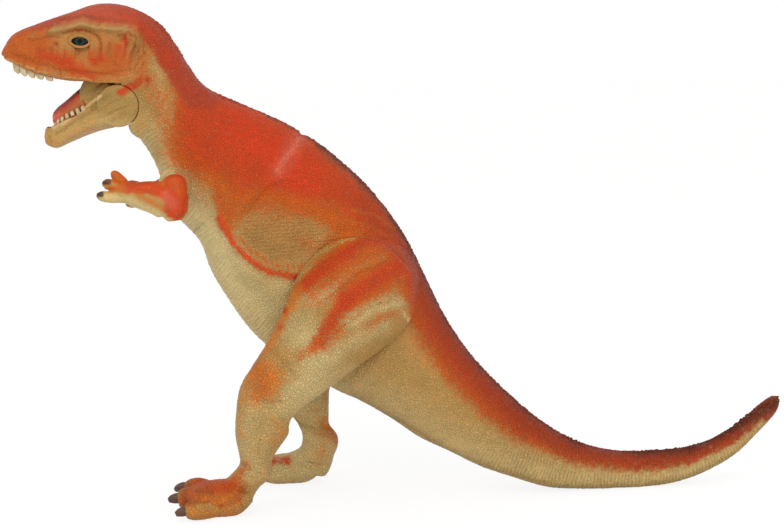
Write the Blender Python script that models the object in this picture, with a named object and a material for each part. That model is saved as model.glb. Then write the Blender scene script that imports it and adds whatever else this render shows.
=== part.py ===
"""Toy theropod dinosaur figure with a hinged jaw and swivelling arms and legs.

The head points along -X, the tail along +X and the figure's left side along -Y. The soles and the underside
of the tail rest on z = 0. Every outline is a row of stations. A station gives the upper and the lower point
of one cross-section in the side view, as shares of the figure's length and height, with the half width and
the middle of that section across the figure.
"""

import math
from typing import NamedTuple

import bmesh
import bpy
from mathutils import Vector

# Sizes of the whole figure
FIGURE_LENGTH = 0.300
FIGURE_HEIGHT = 0.188
BODY_HALF_WIDTH = 0.0220
TAIL_SWAY = 0.026

# Clearances and cuts
GAP = 0.0003
OVERRUN = 0.002
CUT_REACH = 0.200

# Hollow shells and the spigot that joins them
SHELL_WALL = 0.0028
SPIGOT_WALL = 0.0020

# Jaw hinge
JAW_REAR_RADIUS = 0.0078
JAW_REAR_HALF_WIDTH = 0.0122
JAW_REAR_BEVEL = 0.0036
HINGE_LUG_RADIUS = 0.0046
HINGE_LUG_HALF_WIDTH = 0.0035
PIN_RADIUS = 0.0015
PIN_HALF_LENGTH = 0.0080
CHEEK_WEB_SHARE = 0.532
CHEEK_WEB_HALF_WIDTH = 0.0048
MOUTH_DEPTH = 0.0034
PALATE_DEPTH = 0.0024
LIP_WALL = 0.0017

# Teeth, tongue and eyes
GUM_WIDTH = 0.0015
GUM_HEIGHT = 0.0014
GUM_CLEARANCE = 0.0005
TOOTH_RADIUS = 0.00105
UPPER_TOOTH_LENGTH = 0.0050
LOWER_TOOTH_LENGTH = 0.0030
TONGUE_HEIGHT = 0.0062
EYE_RADIUS = 0.0034
EYE_BULGE = 0.0009

# Hips and legs
LEG_HALF_WIDTH = 0.0125
STANCE_HALF_WIDTH = 0.0250
HIP_SEAT = 0.0192
HIP_SEAT_RADIUS = 0.0205
HIP_SEAT_RISE = 0.0020
LEG_SWING_RADIUS = 0.062
HIP_NECK_RADIUS = 0.0060
HIP_FLANGE_RADIUS = 0.0084
HIP_FLANGE_THICKNESS = 0.0022
HIP_BOSS_RADIUS = 0.0110
HIP_BOSS_DEPTH = 0.0052
FOOT_LENGTH = 0.033
FOOT_RISE_SHARE = 0.0718
FOOT_HEIGHT = FIGURE_HEIGHT * FOOT_RISE_SHARE
FOOT_HALF_WIDTH = 0.0098
TOE_RADIUS = 0.0046

# Shoulders and arms
ARM_LENGTH = 0.030
ARM_RADIUS = 0.0050
SHOULDER_SEAT = 0.0180
SHOULDER_STUB_RADIUS = 0.0050
SHOULDER_NECK_RADIUS = 0.0024
SHOULDER_FLANGE_RADIUS = 0.0036
SHOULDER_FLANGE_THICKNESS = 0.0014
SHOULDER_BOSS_DEPTH = 0.0046
RIGHT_ARM_DROP = math.radians(21.5)

# Places in the side view, as shares of the length and the height
JAW_HINGE_SHARE = (-0.351, 0.803)
EYE_SHARE = (-0.397, 0.929)
SHOULDER_SHARE = (-0.278, 0.649)
HIP_SHARE = (-0.0565, 0.437)
EYE_OUT_SHARE = 0.56
LUG_ROOT_SHARE = 0.62
REAR_RING_SHARE = 0.94
LEFT_HEEL_SHARE = -0.183
RIGHT_HEEL_SHARE = -0.103
LEFT_FOOT_HEIGHT_SHARE = 0.95
RIGHT_FOOT_HEIGHT_SHARE = 0.80
LEFT_STANCE_SHARE = 1.00
RIGHT_STANCE_SHARE = 0.84

# Angles about the jaw's hinge in degrees, from the tail's way round over the skull
THROAT_ANGLES = (82, 158)
WEB_ANGLES = (113, 196)
FORK_ANGLES = (-58, 66)

# Squareness of a section, where two is an ellipse
ROUND_POWER = 2.3

# Counts of facets
BODY_SIDES = 28
CAVITY_SIDES = 20
LIMB_SIDES = 18
SMALL_SIDES = 10
ROUND_SIDES = 40
BORE_SIDES = 22
TOOTH_SIDES = 6
SPINE_STEPS = 2
LIMB_STEPS = 2


class Station(NamedTuple):
    """One cross-section of a tapering form, as shares of named sizes."""

    top: tuple
    low: tuple
    width: float
    sway: float = 0.0
    square: float = ROUND_POWER


# Tail tip to snout, with half widths as shares of the body's and the sway as a share of the tail's
SPINE_SHARES = (
    Station((0.4985, 0.174), (0.500, 0.161), 0.05, 1.00),
    Station((0.476, 0.167), (0.486, 0.126), 0.14, 0.92),
    Station((0.454, 0.140), (0.465, 0.096), 0.17, 0.85),
    Station((0.430, 0.111), (0.441, 0.061), 0.20, 0.79),
    Station((0.400, 0.087), (0.409, 0.031), 0.23, 0.73),
    Station((0.363, 0.074), (0.369, 0.007), 0.27, 0.67),
    Station((0.322, 0.071), (0.325, -0.004), 0.31, 0.60),
    Station((0.282, 0.073), (0.279, -0.005), 0.35, 0.52),
    Station((0.242, 0.088), (0.233, -0.002), 0.39, 0.44),
    Station((0.205, 0.117), (0.186, 0.006), 0.45, 0.35),
    Station((0.170, 0.157), (0.142, 0.030), 0.51, 0.27),
    Station((0.138, 0.203), (0.100, 0.056), 0.58, 0.19),
    Station((0.109, 0.250), (0.058, 0.092), 0.65, 0.12),
    Station((0.083, 0.299), (0.020, 0.123), 0.71, 0.07),
    Station((0.063, 0.346), (-0.019, 0.167), 0.77, 0.03),
    Station((0.045, 0.396), (-0.057, 0.203), 0.83, 0.01),
    Station((0.032, 0.441), (-0.088, 0.226), 0.88),
    Station((-0.001, 0.545), (-0.146, 0.282), 0.91),
    Station((-0.044, 0.636), (-0.192, 0.345), 0.95),
    Station((-0.096, 0.712), (-0.229, 0.431), 0.98),
    Station((-0.125, 0.743), (-0.244, 0.476), 0.95),
    Station((-0.156, 0.771), (-0.257, 0.531), 0.90),
    Station((-0.208, 0.807), (-0.292, 0.596), 0.80),
    Station((-0.247, 0.837), (-0.308, 0.679), 0.70),
    Station((-0.269, 0.882), (-0.325, 0.729), 0.64),
    Station((-0.280, 0.913), (-0.340, 0.755), 0.62),
    Station((-0.304, 0.963), (-0.344, 0.834), 0.62, 0.0, 3.0),
    Station((-0.341, 0.995), (-0.355, 0.846), 0.63, 0.0, 4.5),
    Station((-0.378, 1.000), (-0.382, 0.848), 0.60, 0.0, 4.5),
    Station((-0.413, 0.983), (-0.415, 0.850), 0.52, 0.0, 4.5),
    Station((-0.452, 0.962), (-0.454, 0.864), 0.39, 0.0, 4.0),
    Station((-0.483, 0.941), (-0.484, 0.884), 0.28, 0.0, 3.5),
    Station((-0.4985, 0.907), (-0.4985, 0.899), 0.07, 0.0, 2.5),
)

# Places along the spine, counted in stations
SEAM_STATION = 20
SPIGOT_STATIONS = 0.35
THICK_STATIONS = 0.30
TAIL_CAVITY_STATION = 9.5
NECK_CAVITY_STATION = 24.2

# Lower jaw from chin to hinge, held open, with half widths as shares of its rear end's
JAW_SHARES = (
    Station((-0.4475, 0.750), (-0.4480, 0.731), 0.16),
    Station((-0.445, 0.757), (-0.446, 0.722), 0.28),
    Station((-0.435, 0.763), (-0.433, 0.716), 0.47),
    Station((-0.424, 0.775), (-0.415, 0.730), 0.62),
    Station((-0.409, 0.789), (-0.394, 0.746), 0.75),
    Station((-0.394, 0.803), (-0.376, 0.757), 0.86),
    Station((-0.378, 0.816), (-0.360, 0.761), 0.95),
)

# Thigh, shin and instep from the hip down: front point, rear point, half width, distance from the middle
LEFT_LEG_SHARES = (
    Station((-0.014, 0.523), (0.003, 0.494), 0.20, 0.90),
    Station((-0.030, 0.541), (0.011, 0.471), 0.45, 0.92),
    Station((-0.071, 0.550), (0.013, 0.400), 0.82, 0.94),
    Station((-0.100, 0.530), (-0.004, 0.356), 0.96, 0.96),
    Station((-0.127, 0.484), (-0.027, 0.327), 1.00, 0.99),
    Station((-0.145, 0.418), (-0.062, 0.290), 0.96, 1.04),
    Station((-0.166, 0.351), (-0.098, 0.250), 0.84, 1.10),
    Station((-0.187, 0.298), (-0.123, 0.221), 0.74, 1.13),
    Station((-0.201, 0.258), (-0.137, 0.199), 0.68, 1.14),
    Station((-0.206, 0.205), (-0.141, 0.181), 0.64, 1.14),
    Station((-0.207, 0.165), (-0.142, 0.165), 0.60, 1.13),
    Station((-0.204, 0.134), (-0.155, 0.134), 0.54, 1.11),
    Station((-0.202, 0.109), (-0.163, 0.109), 0.51, 1.08),
    Station((-0.208, 0.090), (-0.164, 0.078), 0.52, 1.04),
    Station((-0.222, 0.066), (-0.178, 0.040), 0.56, 1.00),
)
RIGHT_LEG_SHARES = (
    Station((-0.014, 0.523), (0.003, 0.494), 0.20, 0.90),
    Station((-0.030, 0.541), (0.011, 0.471), 0.45, 0.92),
    Station((-0.071, 0.550), (0.013, 0.400), 0.82, 0.94),
    Station((-0.100, 0.530), (-0.004, 0.356), 0.96, 0.96),
    Station((-0.126, 0.479), (-0.020, 0.330), 1.00, 0.99),
    Station((-0.147, 0.415), (-0.047, 0.287), 0.96, 1.04),
    Station((-0.165, 0.351), (-0.073, 0.250), 0.84, 1.10),
    Station((-0.178, 0.293), (-0.090, 0.218), 0.74, 1.09),
    Station((-0.180, 0.239), (-0.097, 0.191), 0.68, 1.05),
    Station((-0.168, 0.189), (-0.098, 0.162), 0.64, 1.00),
    Station((-0.153, 0.149), (-0.098, 0.138), 0.60, 0.95),
    Station((-0.140, 0.125), (-0.097, 0.117), 0.56, 0.91),
    Station((-0.133, 0.098), (-0.086, 0.092), 0.54, 0.88),
    Station((-0.136, 0.070), (-0.088, 0.064), 0.54, 0.86),
    Station((-0.152, 0.056), (-0.100, 0.042), 0.56, 0.84),
)

# Foot from heel to ball: shares of the foot's length, height and half width
FOOT_SHARES = (
    (0.00, 0.55, 0.15, 0.40),
    (0.10, 0.85, 0.02, 0.68),
    (0.25, 1.00, -0.08, 0.86),
    (0.45, 0.98, -0.10, 0.98),
    (0.62, 0.88, -0.10, 1.00),
    (0.74, 0.62, -0.02, 0.84),
)

# Each toe and its claw: along and up as shares of the foot's length and height, out as a share of its half
# width, and the radius as a share of the toe's
INNER_TOE_SHARES = (
    (0.50, 0.52, -0.52, 0.80),
    (0.66, 0.60, -0.66, 0.86),
    (0.78, 0.58, -0.76, 0.72),
    (0.86, 0.60, -0.80, 0.42),
    (0.95, 0.50, -0.84, 0.12),
)
MIDDLE_TOE_SHARES = (
    (0.50, 0.42, 0.00, 0.90),
    (0.68, 0.45, 0.02, 0.96),
    (0.82, 0.44, 0.02, 0.86),
    (0.90, 0.42, 0.02, 0.52),
    (1.00, 0.38, 0.02, 0.14),
)
OUTER_TOE_SHARES = (
    (0.45, 0.30, 0.60, 0.80),
    (0.62, 0.30, 0.82, 0.86),
    (0.72, 0.28, 0.92, 0.72),
    (0.79, 0.25, 0.98, 0.44),
    (0.89, 0.18, 1.04, 0.12),
)

# Arm from the shoulder to the palm: forward, up and out as shares of the arm's length, and the radii
# upright and across as shares of the arm's
ARM_SHARES = (
    (0.01, 0.16, 0.00, 0.30, 0.45),
    (0.01, 0.10, 0.00, 0.84, 0.86),
    (0.02, -0.04, 0.00, 1.00, 0.96),
    (0.01, -0.21, 0.02, 1.04, 0.98),
    (0.01, -0.32, 0.04, 0.92, 0.90),
    (0.00, -0.40, 0.05, 0.48, 0.50),
)
FOREARM_SHARES = (
    (0.02, -0.20, 0.03, 0.86, 0.70),
    (0.12, -0.155, 0.04, 1.30, 0.90),
    (0.24, -0.115, 0.05, 1.22, 0.86),
    (0.38, -0.09, 0.06, 1.06, 0.80),
    (0.50, -0.07, 0.07, 0.88, 0.74),
    (0.58, -0.05, 0.07, 0.80, 0.78),
    (0.66, -0.045, 0.07, 0.78, 0.76),
    (0.72, -0.04, 0.07, 0.50, 0.50),
)
UPPER_FINGER_SHARES = (
    (0.60, 0.02, 0.02, 0.42, 0.42),
    (0.67, 0.09, -0.02, 0.40, 0.40),
    (0.735, 0.155, -0.05, 0.30, 0.30),
    (0.765, 0.195, -0.06, 0.12, 0.12),
)
MIDDLE_FINGER_SHARES = (
    (0.64, 0.00, 0.08, 0.44, 0.44),
    (0.74, 0.035, 0.08, 0.42, 0.42),
    (0.82, 0.055, 0.07, 0.34, 0.34),
    (0.87, 0.06, 0.06, 0.14, 0.14),
)
LOWER_FINGER_SHARES = (
    (0.62, -0.10, 0.12, 0.42, 0.42),
    (0.75, -0.10, 0.14, 0.40, 0.40),
    (0.87, -0.085, 0.14, 0.34, 0.34),
    (0.93, -0.07, 0.13, 0.14, 0.14),
)

# Gum strips: places along the lips, counted in stations, and the teeth along each side of the strip
UPPER_GUM_STATIONS = (29.4, 30.95, 31.25)
LOWER_GUM_STATIONS = (5.0, 1.9, 1.5)
PALATE_STATIONS = (27.6, 31.45)
JAW_FLOOR_STATIONS = (1.15, 5.3)
UPPER_TOOTH_COUNT = 5
LOWER_TOOTH_COUNT = 7
UPPER_TOOTH_LENGTH_SHARES = (0.60, 0.75, 0.85, 1.00, 0.92)
LOWER_TOOTH_LENGTH_SHARES = (0.80, 0.90, 0.95, 1.00, 0.95, 1.00, 0.85)

# One tooth from inside its strip to its tip: places along it and radii, as shares
TOOTH_PROFILE_SHARES = ((0.0, 1.0), (0.45, 0.92), (0.80, 0.60), (1.0, 0.20))

# Tongue: the place along the jaw in stations, the half width as a share of the room between the teeth,
# and the underside and the top as shares of the tongue's height
TONGUE_SHARES = (
    (1.80, 0.50, 0.62, 0.84),
    (2.00, 0.90, 0.46, 0.95),
    (2.30, 0.92, 0.05, 1.00),
    (2.80, 1.00, 0.05, 1.00),
    (3.40, 1.00, 0.05, 0.98),
    (3.95, 0.92, 0.05, 0.92),
)


def side_place(share, across=0.0):
    """Return the point at a share of the length and height, at a distance across the figure."""
    return Vector((share[0] * FIGURE_LENGTH, across, share[1] * FIGURE_HEIGHT))


def signed_power(value, power):
    """Return the value raised to 2 / power, with its sign kept."""
    return math.copysign(abs(value) ** (2.0 / power), value)


def blend_rows(rows, place):
    """Return the smooth mix of a table's rows at a fractional row number."""
    index = min(int(place), len(rows) - 2)
    share = place - index
    before, start, end, after = (rows[max(0, min(len(rows) - 1, index + step))] for step in (-1, 0, 1, 2))
    weights = (
        -0.5 * share + share ** 2 - 0.5 * share ** 3,
        1.0 - 2.5 * share ** 2 + 1.5 * share ** 3,
        0.5 * share + 2.0 * share ** 2 - 1.5 * share ** 3,
        -0.5 * share ** 2 + 0.5 * share ** 3,
    )
    groups = (before, start, end, after)
    return [sum(w * row[i] for w, row in zip(weights, groups)) for i in range(len(start))]


def flat_rows(stations):
    """Return stations as plain rows of numbers."""
    return [(*s.top, *s.low, s.width, s.sway, s.square) for s in stations]


def places_between(first, last, steps):
    """Return evenly spaced row numbers from first to last, with so many steps to a row."""
    count = max(1, round((last - first) * steps))
    return [first + (last - first) * i / count for i in range(count + 1)]


def section(row, width_size, sway_size, sides, inset=0.0, side=1.0):
    """Return one closed ring of points for a row of a table of stations."""
    top = side_place(row[0:2])
    low = side_place(row[2:4])
    middle = (top + low) / 2.0
    middle.y = side * row[5] * sway_size
    up = (top - low) / 2.0
    up = up.normalized() * max(up.length - inset, GAP)
    across = Vector((0.0, max(row[4] * width_size - inset, GAP), 0.0))
    ring = []
    for i in range(sides):
        angle = math.tau * i / sides
        power = row[6] if math.cos(angle) < 0.0 else ROUND_POWER
        ring.append(middle + up * signed_power(math.cos(angle), power)
                    + across * signed_power(math.sin(angle), power))
    return ring


def round_section(centre, direction, radius_up, radius_across, sides):
    """Return an oval ring of points across a direction."""
    forward = direction.normalized()
    sideways = Vector((0.0, 1.0, 0.0))
    sideways = (sideways - forward * sideways.dot(forward)).normalized()
    up = sideways.cross(forward)
    return [centre + up * (radius_up * math.cos(math.tau * i / sides))
            + sideways * (radius_across * math.sin(math.tau * i / sides)) for i in range(sides)]


def loft_mesh(name, rings):
    """Return a closed mesh through rings of points, with a flat face over each end."""
    mesh = bpy.data.meshes.new(name)
    shape = bmesh.new()
    rows = [[shape.verts.new(point) for point in ring] for ring in rings]
    for first, second in zip(rows, rows[1:]):
        for i, vertex in enumerate(first):
            following = (i + 1) % len(first)
            shape.faces.new((vertex, first[following], second[following], second[i]))
    shape.faces.new(rows[0])
    shape.faces.new(rows[-1])
    bmesh.ops.recalc_face_normals(shape, faces=shape.faces)
    shape.to_mesh(mesh)
    shape.free()
    return mesh


def finish(name, colour, roughness):
    """Return a plastic material of one colour and roughness."""
    material = bpy.data.materials.new(name)
    material.use_nodes = True
    shader = material.node_tree.nodes["Principled BSDF"]
    shader.inputs["Base Color"].default_value = (*colour, 1.0)
    shader.inputs["Roughness"].default_value = roughness
    shader.inputs["Metallic"].default_value = 0.0
    return material


def place_piece(name, mesh, material, origin=None):
    """Add a piece of the figure, with its origin on its joint where it has one."""
    piece = bpy.data.objects.new(name, mesh)
    bpy.context.collection.objects.link(piece)
    if origin is not None:
        for vertex in mesh.vertices:
            vertex.co -= origin
        piece.location = origin
    mesh.shade_smooth()
    mesh.set_sharp_from_angle(angle=math.radians(40))
    mesh.materials.append(material)
    return piece


def guide(name, rings):
    """Add a hidden shape that cuts a piece or is joined to it."""
    shape = bpy.data.objects.new(name, loft_mesh(name, rings))
    bpy.context.collection.objects.link(shape)
    shape.hide_render = True
    shape.display_type = "WIRE"
    return shape


def change(piece, operation, shape):
    """Cut a guide from a piece, or join it to the piece."""
    modifier = piece.modifiers.new(f"{operation.lower()} {shape.name}", "BOOLEAN")
    modifier.operation = operation
    modifier.object = shape


def turned(centre, profile, sides=ROUND_SIDES):
    """Return the rings of a form turned about an axis across the figure, from radius and place pairs."""
    angles = [math.tau * (i + 0.5) / sides for i in range(sides)]
    around = [(math.cos(angle), math.sin(angle)) for angle in angles]
    return [[Vector((centre.x + radius * x, across, centre.z + radius * z)) for x, z in around]
            for radius, across in profile]


def rounded_profile(radius, half_width, edge, steps=3):
    """Return the profile of a disc whose two rims are rounded by an edge radius."""
    angles = [math.pi / 2.0 * i / steps for i in range(steps + 1)]
    rim = [(radius - edge * (1.0 - math.sin(a)), edge * (1.0 - math.cos(a)) - half_width) for a in angles]
    return rim + [(size, -across) for size, across in reversed(rim)]


def slab(points, low, high):
    """Return the rings of an outline in the side view that runs from low to high across the figure."""
    return [[Vector((point.x, across, point.z)) for point in points] for across in (low, high)]


def sector(centre, inner, outer, start, end, steps=12):
    """Return the side outline of a ring sector about a centre, between two angles in degrees."""
    angles = [math.radians(start + (end - start) * i / steps) for i in range(steps + 1)]
    rim = [centre + Vector((outer * math.cos(a), 0.0, outer * math.sin(a))) for a in angles]
    root = [centre + Vector((inner * math.cos(a), 0.0, inner * math.sin(a))) for a in reversed(angles)]
    return rim + root


def ball(centre, radius):
    """Return the rings of a ball with its poles across the figure."""
    count = SMALL_SIDES
    angles = [math.pi * (i + 0.5) / count for i in range(count)]
    profile = [(radius * math.sin(angle), centre.y - radius * math.cos(angle)) for angle in angles]
    return turned(centre, profile, LIMB_SIDES)


def spine_rings(first, last, sides, inset=0.0, steps=SPINE_STEPS):
    """Return the rings of the trunk between two places along the spine."""
    rows = flat_rows(SPINE_SHARES)
    return [section(blend_rows(rows, place), BODY_HALF_WIDTH, TAIL_SWAY, sides, inset)
            for place in places_between(first, last, steps)]


def spine_ring(place, sides, inset):
    """Return one ring of the trunk."""
    return section(blend_rows(flat_rows(SPINE_SHARES), place), BODY_HALF_WIDTH, TAIL_SWAY, sides, inset)


def seam_gap_stations():
    """Return the seam's clearance counted in stations."""
    rows = flat_rows(SPINE_SHARES)
    here = side_place(rows[SEAM_STATION][0:2]) + side_place(rows[SEAM_STATION][2:4])
    there = side_place(rows[SEAM_STATION + 1][0:2]) + side_place(rows[SEAM_STATION + 1][2:4])
    return GAP / ((there - here) / 2.0).length


def hip():
    """Return the middle of the hips."""
    return side_place(HIP_SHARE)


def shoulder():
    """Return the middle of the shoulders."""
    return side_place(SHOULDER_SHARE)


def jaw_hinge():
    """Return the middle of the jaw's hinge."""
    return side_place(JAW_HINGE_SHARE)


def web_radius():
    """Return the radius of the cheek web, as a share of the way from the hinge to the chin."""
    return (side_place(JAW_SHARES[0].top) - jaw_hinge()).length * CHEEK_WEB_SHARE


def carve_ground(piece, name):
    """Cut a piece flat where it rests on the ground."""
    reach = FIGURE_LENGTH
    outline = ((-reach, 0.0), (reach, 0.0), (reach, -reach), (-reach, -reach))
    corners = [Vector((x, 0.0, z)) for x, z in outline]
    change(piece, "DIFFERENCE", guide(name, slab(corners, -reach, reach)))


def build_rear_body(skin):
    """Build the shell of the belly, hips and tail, with the spigot that the front shell is pushed over."""
    piece = place_piece("rear_body", loft_mesh("rear_body", spine_rings(0, SEAM_STATION, BODY_SIDES)), skin)
    middle = hip()
    for side, name in ((-1.0, "left"), (1.0, "right")):
        mound = [(HIP_SEAT_RADIUS, 0.0), (HIP_SEAT_RADIUS, side * (HIP_SEAT + OVERRUN))]
        change(piece, "UNION", guide(f"{name}_hip_mound", turned(middle, mound)))
    tip = SEAM_STATION + SPIGOT_STATIONS
    ends = (SEAM_STATION - THICK_STATIONS, tip)
    spigot = [spine_ring(place, CAVITY_SIDES, SHELL_WALL + GAP) for place in ends]
    change(piece, "UNION", guide("spigot", spigot))
    thick = SHELL_WALL + GAP + SPIGOT_WALL
    hollow = spine_rings(TAIL_CAVITY_STATION, SEAM_STATION - 1, CAVITY_SIDES, SHELL_WALL, 1)
    hollow.append(spine_ring(SEAM_STATION - THICK_STATIONS, CAVITY_SIDES, thick))
    hollow.append(spine_ring(tip + THICK_STATIONS, CAVITY_SIDES, thick))
    change(piece, "DIFFERENCE", guide("rear_hollow", hollow))
    for side, name in ((-1.0, "left"), (1.0, "right")):
        boss = [(HIP_BOSS_RADIUS, side * (HIP_SEAT - HIP_BOSS_DEPTH)),
                (HIP_BOSS_RADIUS, side * (HIP_SEAT - GAP))]
        change(piece, "UNION", guide(f"{name}_hip_boss", turned(middle, boss)))
        rim = HIP_SEAT_RADIUS + OVERRUN
        space = [(rim, side * HIP_SEAT), (LEG_SWING_RADIUS, side * (HIP_SEAT + HIP_SEAT_RISE)),
                 (LEG_SWING_RADIUS, side * CUT_REACH)]
        change(piece, "DIFFERENCE", guide(f"{name}_thigh_space", turned(middle, space)))
        hole = [(HIP_NECK_RADIUS + GAP, side * (HIP_SEAT - HIP_BOSS_DEPTH - OVERRUN)),
                (HIP_NECK_RADIUS + GAP, side * (HIP_SEAT + OVERRUN))]
        change(piece, "DIFFERENCE", guide(f"{name}_hip_hole", turned(middle, hole, BORE_SIDES)))
    carve_ground(piece, "ground_under_tail")
    return piece


def build_front_body(skin):
    """Build the shell of the skull, neck and chest."""
    first = SEAM_STATION + seam_gap_stations()
    last = len(SPINE_SHARES) - 1
    rings = [spine_ring(first, BODY_SIDES, 0.0)]
    rings += spine_rings(SEAM_STATION + 1 / SPINE_STEPS, last, BODY_SIDES)
    piece = place_piece("front_body", loft_mesh("front_body", rings), skin)
    hollow = spine_rings(SEAM_STATION - SPIGOT_STATIONS, NECK_CAVITY_STATION, CAVITY_SIDES, SHELL_WALL, 1)
    change(piece, "DIFFERENCE", guide("front_hollow", hollow))
    middle = shoulder()
    inner = SHOULDER_SEAT - SHOULDER_BOSS_DEPTH
    for side, name in ((-1.0, "left"), (1.0, "right")):
        deep = inner - SHOULDER_FLANGE_THICKNESS / 2.0
        stub = [(SHOULDER_STUB_RADIUS, side * deep), (SHOULDER_STUB_RADIUS, side * SHOULDER_SEAT)]
        change(piece, "UNION", guide(f"{name}_shoulder_stub", turned(middle, stub, LIMB_SIDES)))
        hole = [(SHOULDER_NECK_RADIUS + GAP, side * (inner - OVERRUN)),
                (SHOULDER_NECK_RADIUS + GAP, side * (SHOULDER_SEAT + OVERRUN))]
        change(piece, "DIFFERENCE", guide(f"{name}_shoulder_hole", turned(middle, hole, BORE_SIDES)))
        room = [(SHOULDER_FLANGE_RADIUS + GAP, side * inner),
                (SHOULDER_FLANGE_RADIUS + GAP, side * (inner - SHOULDER_FLANGE_THICKNESS - OVERRUN))]
        change(piece, "DIFFERENCE", guide(f"{name}_flange_room", turned(middle, room, BORE_SIDES)))
    carve_mouth(piece)
    carve_eye_sockets(piece)
    return piece


def upper_lip(place):
    """Return the middle of the upper lips, the way up from it, and the half width there."""
    row = blend_rows(flat_rows(SPINE_SHARES), place)
    top, low = side_place(row[0:2]), side_place(row[2:4])
    return low, (top - low).normalized(), row[4] * BODY_HALF_WIDTH


def lower_lip(place):
    """Return the middle of the lower lips, the way down from it, and the half width there."""
    row = blend_rows(flat_rows(JAW_SHARES), place)
    top, low = side_place(row[0:2]), side_place(row[2:4])
    return top, (low - top).normalized(), row[4] * JAW_REAR_HALF_WIDTH


def mouth_hollow(lip, first, last, depth):
    """Return the rings of the hollow behind the lips, from outside the mouth to a depth."""
    rings = []
    for place in places_between(first, last, LIMB_STEPS):
        middle, inward, half_width = lip(place)
        across = Vector((0.0, half_width - LIP_WALL, 0.0))
        rings.append([middle - inward * OVERRUN - across, middle - inward * OVERRUN + across,
                      middle + inward * depth + across, middle + inward * depth - across])
    return rings


def gum_path(lip, rear, corner, front, depth):
    """Return the path of a gum strip from one rear end round the front to the other, with the way in."""
    path = []
    for place in places_between(rear, corner, 2):
        middle, inward, half_width = lip(place)
        out = half_width - LIP_WALL - GUM_CLEARANCE - GUM_WIDTH / 2.0
        path.append((middle + inward * (depth - GUM_CLEARANCE - GUM_HEIGHT / 2.0), inward, out))
    left = [(middle + Vector((0.0, -out, 0.0)), inward) for middle, inward, out in path]
    right = [(middle + Vector((0.0, out, 0.0)), inward) for middle, inward, out in reversed(path)]
    middle, inward, _ = lip(front)
    return left + [(middle + inward * (depth - GUM_CLEARANCE - GUM_HEIGHT / 2.0), inward)] + right


def strip_rings(path):
    """Return the rings of a flat strip along a path."""
    rings = []
    for i, (point, inward) in enumerate(path):
        following = path[min(i + 1, len(path) - 1)][0]
        forward = (following - path[max(i - 1, 0)][0]).normalized()
        across = forward.cross(inward).normalized() * GUM_WIDTH / 2.0
        deep = inward * GUM_HEIGHT / 2.0
        rings.append([point - across - deep, point + across - deep,
                      point + across + deep, point - across + deep])
    return rings


def tooth_rings(root, way, length):
    """Return the rings of one tooth that stands on its root along a way."""
    rings = []
    for along_share, radius_share in TOOTH_PROFILE_SHARES:
        radius = TOOTH_RADIUS * radius_share
        rings.append(round_section(root + way * (length * along_share), way, radius, radius, TOOTH_SIDES))
    return rings


def tooth_row(path, count, length, length_shares):
    """Return the rings of evenly spaced teeth along both sides of a gum strip."""
    half = len(path) // 2
    teeth = []
    for side in (path[:half], list(reversed(path[half + 1:]))):
        for i in range(count):
            place = (i + 0.5) / count * (half - 1)
            index = min(int(place), half - 2)
            share = place - index
            root = side[index][0].lerp(side[index + 1][0], share)
            way = -side[index][1]
            teeth.append(tooth_rings(root, way, length * length_shares[i % len(length_shares)]))
    return teeth


def carve_mouth(piece):
    """Cut the jaw's seat, the throat and the roof of the mouth from the skull, and add the hinge's lug."""
    hinge = jaw_hinge()
    pocket = JAW_REAR_RADIUS + GAP
    reach = BODY_HALF_WIDTH
    change(piece, "DIFFERENCE", guide("jaw_seat", turned(hinge, [(pocket, -reach), (pocket, reach)])))
    half = CHEEK_WEB_HALF_WIDTH + GAP
    throat = sector(hinge, HINGE_LUG_RADIUS, web_radius() + GAP, *THROAT_ANGLES)
    change(piece, "DIFFERENCE", guide("throat", slab(throat, -half, half)))
    palate = mouth_hollow(upper_lip, *PALATE_STATIONS, PALATE_DEPTH)
    change(piece, "DIFFERENCE", guide("palate", palate))
    width = HINGE_LUG_HALF_WIDTH
    lug = turned(hinge, [(HINGE_LUG_RADIUS, -width), (HINGE_LUG_RADIUS, width)])
    change(piece, "UNION", guide("hinge_lug", lug))
    height = HINGE_LUG_RADIUS * LUG_ROOT_SHARE
    far = pocket + OVERRUN
    outline = ((0.0, height), (0.0, -height), (far, -height), (far, height))
    root = [hinge + Vector((x, 0.0, z)) for x, z in outline]
    half = width - GAP
    change(piece, "UNION", guide("lug_root", slab(root, -half, half)))
    change(piece, "DIFFERENCE", guide("lug_bore", pin_bore(hinge)))


def pin_bore(hinge):
    """Return the rings of the hole for the jaw's pin."""
    reach = PIN_HALF_LENGTH + GAP
    return turned(hinge, [(PIN_RADIUS + GAP, -reach), (PIN_RADIUS + GAP, reach)], BORE_SIDES)


def eye_middle(side):
    """Return the middle of an eye."""
    return side_place(EYE_SHARE, side * (BODY_HALF_WIDTH * EYE_OUT_SHARE + EYE_BULGE - EYE_RADIUS))


def carve_eye_sockets(piece):
    """Cut the two sockets that the eyes are pressed into."""
    for side, name in ((-1.0, "left"), (1.0, "right")):
        change(piece, "DIFFERENCE", guide(f"{name}_eye_socket", ball(eye_middle(side), EYE_RADIUS + GAP)))


def build_eyes(glass):
    """Build the two eye beads."""
    for side, name in ((-1.0, "left_eye"), (1.0, "right_eye")):
        place_piece(name, loft_mesh(name, ball(eye_middle(side), EYE_RADIUS)), glass)


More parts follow.
